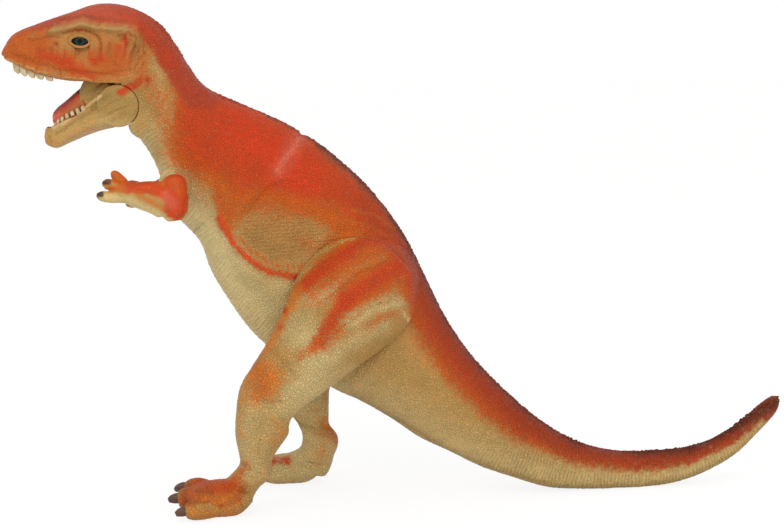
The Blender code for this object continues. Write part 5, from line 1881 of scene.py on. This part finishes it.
# Shares of the foot's length, height and half width, and of a toe's radius.
TOES: tuple[tuple[Row, ...], ...] = (
    ((0.5, 0.52, -0.52, 0.8), (0.66, 0.6, -0.66, 0.88), (0.78, 0.58, -0.76, 0.76), (0.84, 0.6, -0.79, 0.52)),
    ((0.5, 0.42, 0, 0.9), (0.68, 0.45, 0.02, 0.98), (0.82, 0.44, 0.02, 0.88), (0.88, 0.43, 0.02, 0.6)),
    ((0.45, 0.3, 0.6, 0.8), (0.62, 0.3, 0.82, 0.88), (0.72, 0.28, 0.92, 0.76), (0.775, 0.26, 0.96, 0.52)),
)
CLAWS: tuple[tuple[Row, ...], ...] = (
    ((0.8, 0.62, -0.77, 0.4), (0.86, 0.61, -0.8, 0.4), (0.915, 0.56, -0.82, 0.32), (0.945, 0.51, -0.84, 0.18)),
    ((0.85, 0.46, 0.02, 0.43), (0.9, 0.45, 0.02, 0.43), (0.955, 0.42, 0.02, 0.35), (0.99, 0.38, 0.02, 0.2)),
    ((0.74, 0.29, 0.93, 0.4), (0.79, 0.27, 0.98, 0.4), (0.845, 0.23, 1.01, 0.32), (0.88, 0.19, 1.04, 0.18)),
)

LEFT_LEG_RIDGES: tuple[Ridge, ...] = (
    Ridge((330, 262, 345, 254, 364, 248, 384, 252), 5, 0.45),
    Ridge((326, 300, 340, 288, 362, 272, 386, 262), 4.5, -0.45),
    Ridge((320, 322, 338, 310, 360, 292, 384, 280), 6, 0.45),
    Ridge((322, 346, 346, 324, 372, 306, 396, 300), 4.5, -0.4),
    Ridge((300, 292, 290, 316, 278, 340), 5, 0.4),
    Ridge((252, 372, 264, 384, 272, 398), 10, 0.55),
    Ridge((246, 396, 262, 402, 280, 402), 2.2, -0.35),
    Ridge((268, 348, 284, 362, 296, 380), 3, -0.35),
    Ridge((252, 416, 252, 440, 250, 460), 6, 0.3),
    Ridge((268, 420, 272, 440, 264, 458), 5, 0.45),
    Ridge((262, 414, 260, 436, 258, 456), 2.4, -0.35),
    Ridge((238, 462, 250, 470, 262, 474), 2, -0.3),
    Ridge((240, 472, 252, 478), 2, -0.25),
    Ridge((214, 482, 222, 490, 232, 494), 2, 0.3),
    Ridge((204, 480, 208, 488), 1.2, -0.3),
    Ridge((198, 479, 201, 487), 1.2, -0.28),
    Ridge((196, 492, 200, 500), 1.2, -0.28),
    Ridge((203, 494, 208, 503), 1.2, -0.28),
    Ridge((194, 505, 199, 513), 1.2, -0.28),
    Ridge((204, 506, 209, 515), 1.2, -0.28),
    Ridge((240, 498, 243, 510), 2.4, -0.3),
)
RIGHT_LEG_RIDGES: tuple[Ridge, ...] = (
    Ridge((324, 428, 334, 434, 340, 440), 4, 0.4),
    Ridge((304, 424, 310, 444, 306, 462), 3, -0.3),
    Ridge((318, 446, 322, 462), 3, 0.3),
    Ridge((288, 462, 298, 470), 1.6, -0.25),
    Ridge((300, 458, 310, 466), 1.6, -0.25),
)

THIGH_COAT: tuple[Spray, ...] = BACK_SPRAYS + (
    patch((300, 280, 316, 262, 344, 243, 384, 238, 404, 250, 416, 290, 412, 318, 400, 306, 372, 318, 344, 336, 330,
         352, 312, 352, 318, 330, 330, 306, 306, 306), Tone.ORANGE, 0.58, 9),
    line((392, 232, 408, 262, 420, 300), 7, Tone.RED, 0.7, 8),
    line((322, 296, 344, 276, 367, 264, 384, 256), 4, None, 0.36, 5),
    patch((340, 322, 372, 300, 398, 286, 410, 308, 402, 330, 360, 346), None, 0.7, 8),
    line((300, 288, 318, 273, 337, 259, 352, 251), 6, Tone.RED, 0.85, 5),
    line((348, 250, 366, 242, 384, 240, 394, 250), 5, Tone.RED, 0.8, 5),
    line((318, 342, 327, 328, 336, 314, 350, 298), 6, Tone.RED, 0.7, 6),
    line((346, 300, 362, 288, 378, 278, 398, 266), 8, Tone.RED, 0.85, 6),
    line((300, 356, 312, 348, 322, 338), 5, Tone.ORANGE, 0.6, 6),
    line((368, 326, 380, 318, 396, 312), 4.5, Tone.ORANGE, 0.55, 6),
    line((298, 290, 288, 308, 277, 330, 264, 350), 5, Tone.AMBER, 0.8, 6),
    line((284, 311), 3.4, Tone.RED, 0.85, 2.6),
    line((281, 327), 2.6, Tone.ORANGE, 0.8, 2.6),
    line((322, 252, 344, 240, 365, 234, 386, 238), 1.4, None, 0.85, 1.8),
    line((380, 217, 390, 223, 400, 232), 0.8, None, 0.7, 1.8),
    # Painted highlight: a pale touch on the raised knob at the thigh's rear.
    line((404, 314, 409, 320), 2, Tone.PALE, 0.6, 3),
)

NEAR_BASE: tuple[Spray, ...] = (
    line((262, 400, 256, 430, 252, 466), 20, Tone.CREAM, 0.4, 14),
    line((300, 330, 320, 352, 310, 384, 290, 400), 18, Tone.CREAM, 0.8, 12),
    line((310, 300, 330, 294, 350, 286), 7, Tone.CREAM, 0.8, 6),
    line((352, 320, 376, 306, 398, 304), 8, Tone.CREAM, 0.75, 7),
    line((286, 330, 300, 320, 316, 322), 10, Tone.OLIVE, 0.22, 9),
    line((320, 366, 350, 344, 384, 326), 7, Tone.CREAM, 0.6, 8),
    line((256, 372, 272, 392), 12, Tone.OLIVE, 0.45, 10),
    line((244, 420, 242, 450, 250, 470), 9, Tone.CREAM, 0.5, 8),
    line((190, 514, 215, 516, 243, 512), 3.4, Tone.AMBER, 0.6, 3),
    line((350, 372, 320, 384, 296, 392), 10, Tone.CREAM, 0.5, 8),
)

# The last strokes of the near leg's coat are painted shade in its folds.
NEAR_COAT: tuple[Spray, ...] = THIGH_COAT + (
    patch((241, 366, 256, 358, 276, 362, 286, 378, 276, 398, 256, 404, 243, 392), Tone.AMBER, 0.72, 14),
    line((256, 366, 266, 380, 262, 392), 5, Tone.ORANGE, 0.45, 10),
    line((243, 400, 240, 420, 242, 436), 3, Tone.AMBER, 0.4, 5),
    line((276, 424, 282, 434, 274, 442), 5, Tone.AMBER, 0.4, 9),
    line((244, 466, 238, 478, 228, 488), 6, Tone.ORANGE, 0.6, 7),
    patch((188, 480, 198, 472, 214, 478, 236, 480, 248, 486, 242, 502, 222, 508, 200, 502, 184, 508, 176, 502, 182,
         488), Tone.SNOUT_ORANGE, 0.86, 5),
    line((200, 483, 214, 489, 232, 487), 5, Tone.RED, 0.55, 6),
    line((206, 498, 222, 500, 236, 494), 4, Tone.AMBER, 0.55, 5),
    line((232, 500, 244, 490), 3, Tone.BROWN, 0.25, 5),
    line((222, 506), 1.8, Tone.BROWN, 0.85, 1.6),
    line((196, 491, 212, 492), 1.2, Tone.BROWN, 0.5, 2),
    line((188, 478, 182, 492, 190, 505), 3, Tone.MAROON, 0.4, 5),
    line((192, 503, 208, 502), 1, Tone.BROWN, 0.4, 2),
    line((192, 508, 216, 510, 240, 504), 3, Tone.AMBER, 0.45, 5),
) + creased(LEFT_LEG_RIDGES, 0.22)

# Painted light: the far shin is laid in pale cream, lighter than the near one, against the shade that it stands in.
FAR_BASE: tuple[Spray, ...] = (
    line((300, 400, 310, 430, 316, 470, 280, 474), 26, Tone.CREAM, 0.9, 10),
    line((276, 481, 300, 482, 326, 478), 3, Tone.PALE, 0.6, 4),
    line((292, 420, 300, 440), 5, Tone.OLIVE, 0.3, 6),
)

FAR_COAT: tuple[Spray, ...] = (
    line((326, 424, 334, 432, 338, 441), 5, Tone.ORANGE, 0.6, 5),
    line((262, 464, 276, 460, 288, 461), 4, Tone.RED, 0.75, 4),
    line((240, 476, 262, 470), 6, Tone.ORANGE, 0.7, 6),
    line((318, 412, 326, 436, 320, 460), 9, Tone.AMBER, 0.35, 9),
)

FAR_THIGH_BASE: tuple[Spray, ...] = (
    line((300, 330, 320, 352, 310, 384, 290, 400), 18, Tone.CREAM, 0.8, 12),
    line((310, 300, 330, 294, 350, 286), 7, Tone.CREAM, 0.8, 6),
    line((256, 372, 272, 392), 12, Tone.OLIVE, 0.45, 10),
)

FAR_KNEE: tuple[Spray, ...] = (
    patch((246, 364, 262, 356, 290, 366, 290, 396, 266, 404, 248, 396), Tone.ORANGE, 0.5, 8),
)


@dataclass
class Leg:
    """One leg: thigh, shin, foot and clawed toes in one piece of vinyl."""

    side: float
    name: str
    node: str
    body: str
    table: tuple[Row, ...]
    heel: float
    height_share: float
    stance_share: float
    ankle: tuple[Row, ...]
    half_width: float = 0.0125
    stance_half_width: float = 0.0250
    foot_length: float = 0.033
    foot_height: float = 0.0135
    foot_half_width: float = 0.0098
    toe_radius: float = 0.0046
    hip_seat: float = 0.0195
    boss_radius: float = 0.0205
    swing_radius: float = 0.062
    voxel: float = 0.00060

    def digit(self, rows: tuple[Row, ...]) -> Array:
        """Return the rings of a toe or claw, from shares of the foot's length, height, half width and toe radius."""
        return tube([(*self.foot_point(along, up, out), radius * self.toe_radius, radius * self.toe_radius)
                     for along, up, out, radius in rows], 28)

    def foot_point(self, along: float, up: float, out: float) -> Row:
        """Find a point of the foot.

        Args:
            along: Share of the foot's length.
            up: Share of its height.
            out: Share of its half width.

        Returns:
            The point in metres.
        """
        stance = self.side * self.stance_share * self.stance_half_width
        return (self.heel * FIGURE.length - along * self.foot_length,
                stance + self.side * out * self.foot_half_width, up * self.foot_height * self.height_share)

    def foot_forms(self) -> list[Array]:
        """Return the rings of the foot, its ankle and its toes."""
        height = self.foot_height * self.height_share
        sole = tube([(*self.foot_point(along, (top + low) / 2.0, 0.0), (top - low) / 2.0 * height,
                      width * self.foot_half_width) for along, top, low, width in FOOT], 48)
        stance = self.foot_point(0.0, 0.0, 0.0)[1]
        ankle = tube([(x * MM, stance, z * MM, r * MM, r * MM * 1.1) for x, z, r in self.ankle], 32)
        return [sole, ankle] + [self.digit(toe) for toe in TOES]

    def flush(self, rings: Array, places: Array) -> None:
        """Draw the top of the thigh out of the flank as a flat lens, so that it meets it without a step.

        Args:
            rings: Rings of the leg, which are changed.
            places: Where they stand along the leg.
        """
        rows = rows_at(self.table, places)
        width = rings[..., 1] * self.side
        middle = (rows[:, 5] * self.stance_half_width)[:, None]
        half = (rows[:, 4] * self.half_width)[:, None]
        out = np.clip((width - middle) / half, -1.0, 1.0)
        bulge = (middle + half - self.hip_seat) * (0.30 + 0.70 * smooth(places / 3.2))[:, None]
        lens = self.hip_seat + np.where(out > 0.0, bulge * np.abs(out) ** 2.3, -0.002 * np.abs(out))
        amount = smooth((6.4 - places) / 3.4)[:, None]
        rings[..., 1] = self.side * (width * (1.0 - amount) + lens * amount)

    def ease_inside(self, mesh: Mesh) -> None:
        """Keep the thigh's inner side clear of the flank that it swings past.

        Args:
            mesh: Mesh of the leg, which is changed.
        """
        points = points_of(mesh)
        far = apart(points, FIGURE.hip)
        share = np.clip((far - self.boss_radius) / (self.swing_radius - self.boss_radius), 0.0, 1.0)
        wall = self.hip_seat + share * 0.0020 - smooth((far - self.swing_radius) / 0.006) * 0.012
        points[:, 1] = self.side * np.maximum(points[:, 1] * self.side, wall)
        points[:, 2] = np.maximum(points[:, 2], 0.0)
        place_points(mesh, points)

    def build(self, material: Material, claw_material: Material) -> None:
        """Build and place the leg.

        Args:
            material: The painted vinyl.
            claw_material: The paint of the claws.
        """
        places = np.linspace(0.0, len(self.table) - 1.0, 150)
        loft = sections(rows_at(self.table, places), self.half_width, self.stance_half_width, 96, self.side)
        self.flush(loft, places)
        mesh = fused(self.name, [loft] + self.foot_forms(), self.voxel, 8)
        self.ease_inside(mesh)
        skin = Skin(self.name, mesh)
        if self.side < 0.0:
            skin.emboss(LEFT_LEG_RIDGES)
            knee = Mark((262, 386), 20.0, 12.0).cover(skin.spots)
        else:
            shin = Skin(self.name, mesh, None)
            skin.emboss(tuple(ridge for ridge in LEFT_LEG_RIDGES if ridge.path[1] < 340))
            shin.emboss(RIGHT_LEG_RIDGES)
            knee = np.zeros(len(skin.spots))
        skin.pebble(1.3, 0.10, 1.0 - knee)
        skin.pebble(2.1, 0.34, knee)
        self.ease_inside(mesh)
        self.paint(skin)
        skin.show(material, self.body, self.node)
        claws = dress(f"{self.name}_claws", [self.digit(claw) for claw in CLAWS], claw_material)
        set_in_place(claws, self.body)

    def paint(self, skin: Skin) -> None:
        """Lay the coats of paint on the leg. The far leg's thigh is painted as the near one's.

        Args:
            skin: Skin of the leg.
        """
        skin.spots = VIEW.spots(skin.points)
        if self.side < 0.0:
            skin.lay(skin.coats(NEAR_BASE, NEAR_COAT), 0.95)
            return
        thigh = skin.coats(FAR_THIGH_BASE, THIGH_COAT + FAR_KNEE)
        skin.spots = VIEW.spots(skin.points, None)
        shin = skin.coats(FAR_BASE, FAR_COAT)
        share = smooth((skin.points[:, 2:] - 0.038) / 0.012)
        skin.lay(shin * (1.0 - share) + thigh * share, 0.9)


# Shares of the arm's length ahead, up and out, and of its radius upright and across.
ARM: tuple[Row, ...] = (
    (0.01, 0.16, 0, 0.3, 0.45), (0.01, 0.1, 0, 0.84, 0.86), (0.02, -0.04, 0, 1, 0.96),
    (0.01, -0.21, 0.02, 1.04, 0.98), (0.01, -0.32, 0.04, 0.92, 0.9), (0, -0.4, 0.05, 0.48, 0.5),
)
FOREARM: tuple[Row, ...] = (
    (0.02, -0.2, 0.03, 0.86, 0.7), (0.12, -0.155, 0.04, 1.3, 0.9), (0.24, -0.115, 0.05, 1.22, 0.86),
    (0.38, -0.09, 0.06, 1.06, 0.8), (0.5, -0.07, 0.07, 0.88, 0.74), (0.58, -0.05, 0.07, 0.8, 0.78),
    (0.66, -0.045, 0.07, 0.78, 0.76), (0.72, -0.04, 0.07, 0.5, 0.5),
)
FINGERS: tuple[tuple[Row, ...], ...] = (
    ((0.6, 0.02, 0.02, 0.42, 0.42), (0.67, 0.09, -0.02, 0.42, 0.42),
     (0.735, 0.155, -0.05, 0.34, 0.34), (0.765, 0.195, -0.06, 0.16, 0.16)),
    ((0.64, 0, 0.08, 0.44, 0.44), (0.74, 0.035, 0.08, 0.44, 0.42),
     (0.82, 0.055, 0.07, 0.38, 0.36), (0.87, 0.06, 0.06, 0.16, 0.16)),
    ((0.62, -0.1, 0.12, 0.42, 0.42), (0.75, -0.1, 0.14, 0.42, 0.4),
     (0.87, -0.085, 0.14, 0.38, 0.36), (0.93, -0.07, 0.13, 0.16, 0.16)),
)

ARM_RIDGES: tuple[Ridge, ...] = (
    Ridge((140, 186, 152, 188, 166, 192), 3.0, 0.30),
    Ridge((136, 194, 150, 200, 164, 208), 2.4, -0.25),
    Ridge((165, 182, 163, 192), 1.6, -0.35),
    Ridge((124, 182, 132, 186), 1.2, -0.25),
    Ridge((116, 176, 120, 180), 1.0, -0.2),
    Ridge((176, 184, 182, 198, 180, 212), 3.0, 0.30),
)

ARM_BASE: tuple[Spray, ...] = (
    line((104, 198, 130, 202, 150, 212, 170, 220), 5, Tone.CREAM, 0.9, 4),
    line((104, 181.5, 108, 182), 3.4, Tone.CLAW, 0.95, 1.4),
    line((97, 194, 101, 194), 3.2, Tone.CLAW, 0.95, 1.4),
    # Painted highlight: a thin pale line along the upper arm's edge.
    line((163.5, 184, 163, 190), 0.5, Tone.PALE, 0.8, 1),
)

ARM_COAT: tuple[Spray, ...] = (
    line((112, 171, 118, 177, 128, 184, 146, 186, 164, 188), 7.5, Tone.ORANGE, 0.94, 3.4),
    line((128, 186, 148, 187, 164, 193, 176, 204), 6.5, Tone.RED, 0.85, 4),
    line((138, 196, 152, 203, 168, 212), 3, Tone.ORANGE, 0.6, 4),
    line((176, 180, 180, 194, 176, 210), 11, Tone.RED, 0.92, 4),
    line((174, 182, 182, 190), 5, Tone.ORANGE, 0.5, 5),
    line((166, 196, 172, 204), 5, Tone.PINK, 0.35, 4),
    line((110, 188, 124, 190), 3.4, Tone.ORANGE, 0.8, 2.6),
    line((116, 181, 124, 184), 3, Tone.ORANGE, 0.7, 2.4),
)


@dataclass
class Arm:
    """One arm: upper arm, forearm and three fingers in one piece of vinyl."""

    side: float
    name: str
    node: str
    body: str
    drop: float
    length: float = 0.030
    radius: float = 0.0050
    seat: float = 0.0183
    voxel: float = 0.00030

    def form(self, table: tuple[Row, ...], sides: int) -> Array:
        """Draw one form of the arm, turned down about the shoulder.

        Args:
            table: Stations of the form.
            sides: Points in a ring.

        Returns:
            Rings, points and coordinates.
        """
        cosine, sine = math.cos(self.drop), math.sin(self.drop)
        return tube([(FIGURE.shoulder[0] - (ahead * cosine + up * sine) * self.length,
                      self.side * (SEAT_OFFSET + self.radius + out * self.length),
                      FIGURE.shoulder[2] + (up * cosine - ahead * sine) * self.length,
                      tall * self.radius, wide * self.radius) for ahead, up, out, tall, wide in table], sides)

    def lifted(self, points: Array) -> Array:
        """Turn points of the arm back up, so that both arms are painted alike.

        Args:
            points: Points, one to a row.

        Returns:
            The points as the near arm has them.
        """
        cosine, sine = math.cos(self.drop), math.sin(self.drop)
        moved = points.copy()
        ahead, above = FIGURE.shoulder[0] - points[:, 0], points[:, 2] - FIGURE.shoulder[2]
        moved[:, 0] = FIGURE.shoulder[0] - (ahead * cosine - above * sine)
        moved[:, 2] = FIGURE.shoulder[2] + above * cosine + ahead * sine
        return moved

    def build(self, material: Material) -> None:
        """Build and place the arm.

        Args:
            material: The painted vinyl.
        """
        forms = [self.form(ARM, 48), self.form(FOREARM, 48)] + [self.form(finger, 28) for finger in FINGERS]
        skin = Skin(self.name, fused(self.name, forms, self.voxel, 6))
        points = skin.points
        points[:, 1] = self.side * np.maximum(points[:, 1] * self.side, self.seat)
        place_points(skin.mesh, points)
        skin.spots = VIEW.spots(self.lifted(points))
        skin.emboss(ARM_RIDGES)
        skin.pebble(0.9, 0.07)
        claw = np.maximum(Mark((96, 194, 102, 194), 3.4, 1.0).cover(skin.spots),
                          Mark((103, 181.5, 108, 182), 3.2, 1.0).cover(skin.spots))
        skin.lay(skin.coats(ARM_BASE, ARM_COAT, wander=0.6), 0.45 * (1.0 - claw), 0.0, claw)
        skin.show(material, self.body, self.node)


# The studio


@dataclass
class Studio:
    """The pale floor, the soft lights and the camera."""

    floor_size: float = 6.0
    floor_drop: float = 0.0002
    floor_glow: float = 1.07
    glow_share: float = 0.80
    sky_strength: float = 0.80
    sky_tint: Row = (1.0, 0.99, 0.97)
    sensor: float = 36.0

    def floor(self) -> None:
        """Lay the floor, which shows white and keeps the figure's shadow."""
        board = NodeBoard(bpy.data.materials.new("pale floor"))
        board.feed(board.shader, {"Base Color": (0.86, 0.86, 0.86), "Roughness": 0.9, "Specular IOR Level": 0.1})
        glow = board.add("ShaderNodeEmission", {"Color": (1.0, 1.0, 1.0), "Strength": self.floor_glow}).outputs[0]
        share = board.fit(board.seen(), self.glow_share)
        board.feed(board.tree.nodes["Material Output"],
                   {"Surface": board.blended(share, board.shader.outputs[0], glow)})
        half = self.floor_size / 2.0
        mesh = bpy.data.meshes.new("floor")
        mesh.from_pydata([(-half, -half, 0.0), (half, -half, 0.0), (half, half, 0.0), (-half, half, 0.0)], [],
                         [(0, 1, 2, 3)])
        mesh.materials.append(board.owner)
        piece = new_object("floor", mesh)
        piece.location.z = -self.floor_drop

    def world(self) -> None:
        """Light the figure softly from all round, and show white behind it."""
        world = bpy.data.worlds.new("studio")
        bpy.context.scene.world = world
        board = NodeBoard(world)
        board.tree.nodes.clear()
        light, white = (board.add("ShaderNodeBackground", {"Color": tint, "Strength": strength}).outputs[0]
                        for tint, strength in ((self.sky_tint, self.sky_strength), ((1.0, 1.0, 1.0), 1.0)))
        board.add("ShaderNodeOutputWorld", {"Surface": board.blended(board.seen(), light, white)})

    def stand(self, name: str, data: bpy.types.ID, place: Row) -> Piece:
        """Stand a lamp or camera in the scene.

        Args:
            name: Its name.
            data: Its data.
            place: Where it stands.

        Returns:
            The new object.
        """
        piece = bpy.data.objects.new(name, data)
        bpy.context.scene.collection.objects.link(piece)
        piece.location = place
        return piece

    def lamp(self, name: str, place: Row, aim: Row, size: float, power: float) -> None:
        """Hang one soft square lamp.

        Args:
            name: Name of the lamp.
            place: Where it hangs.
            aim: The point it shines at.
            size: Side of the square in metres.
            power: Its power in watts.
        """
        data = bpy.data.lights.new(name, "AREA")
        data.size, data.energy = size, power
        lamp = self.stand(name, data, place)
        lamp.rotation_euler = (Vector(aim) - Vector(place)).to_track_quat("-Z", "Y").to_euler()

    def camera(self) -> None:
        """Stand the camera where the photograph was taken from."""
        data = bpy.data.cameras.new("camera")
        data.sensor_width = self.sensor
        data.lens = VIEW.focal / VIEW.width * self.sensor
        camera = self.stand("camera", data, VIEW.place)
        camera.rotation_euler = (math.pi / 2.0 - VIEW.pitch, 0.0, 0.0)
        bpy.context.scene.camera = camera

    def build(self) -> None:
        """Set up the whole studio."""
        self.floor()
        self.world()
        self.lamp("key lamp", (-0.35, -0.75, 0.95), (-0.01, 0.0, 0.09), 0.55, 3.4)
        self.lamp("fill lamp", (0.45, -0.85, 0.16), (0.0, 0.0, 0.07), 0.60, 2.5)
        self.camera()
        bpy.context.scene.view_settings.view_transform = "Standard"
        log.info("studio set up")


def main() -> None:
    """Build each sub-assembly of the figure in order, then the studio."""
    logging.basicConfig(level=logging.INFO, format="%(message)s")
    body_vinyl = PaintedVinyl("painted body vinyl").make()
    limb_vinyl = PaintedVinyl("painted limb vinyl", 1.05, groove_shade_strength=0.70).make()
    jaw_vinyl = PaintedVinyl("painted jaw vinyl", 0.9, 0.44, 0.10).make()
    fine_vinyl = PaintedVinyl("painted hand vinyl", 0.8, 0.42, 0.08).make()
    claw_plastic = MouldedPlastic("dark claw paint", Tone.CLAW, Tone.BROWN, 0.48).make()
    Trunk().build(body_vinyl)
    LowerJaw().build(jaw_vinyl)
    Teeth().build(MouldedPlastic("cream tooth plastic", Tone.TEETH, Tone.GUM, 0.36).make())
    Tongue().build(PaintedVinyl("red tongue vinyl", 0.7, 0.42, 0.06).make())
    Eyes().build(CoatedBead("painted eye bead").make(), jaw_vinyl)
    JawPin().build(MouldedPlastic("hinge pin plastic", Tone.DULL_TAN, Tone.BROWN, 0.45).make())
    Leg(-1.0, "left_leg_skin", "left_leg", "leg_left", LEFT_LEG, -0.183, 0.95, 1.00,
        ((-54.5, 15.0, 4.0), (-57.9, 11.2, 4.1), (-60.5, 7.0, 4.4))).build(limb_vinyl, claw_plastic)
    Leg(1.0, "right_leg_skin", "right_leg", "leg_right", RIGHT_LEG, -0.103, 0.80, 0.84,
        ((-30.2, 17.0, 4.0), (-32.2, 10.0, 4.8), (-34.0, 5.6, 5.0), (-34.8, 3.0, 4.3))).build(limb_vinyl, claw_plastic)
    Arm(-1.0, "left_arm_skin", "left_arm", "arm_left", 0.0).build(fine_vinyl)
    Arm(1.0, "right_arm_skin", "right_arm", "arm_right", math.radians(21.5)).build(fine_vinyl)
    Studio().build()


if __name__ == "__main__":
    main()
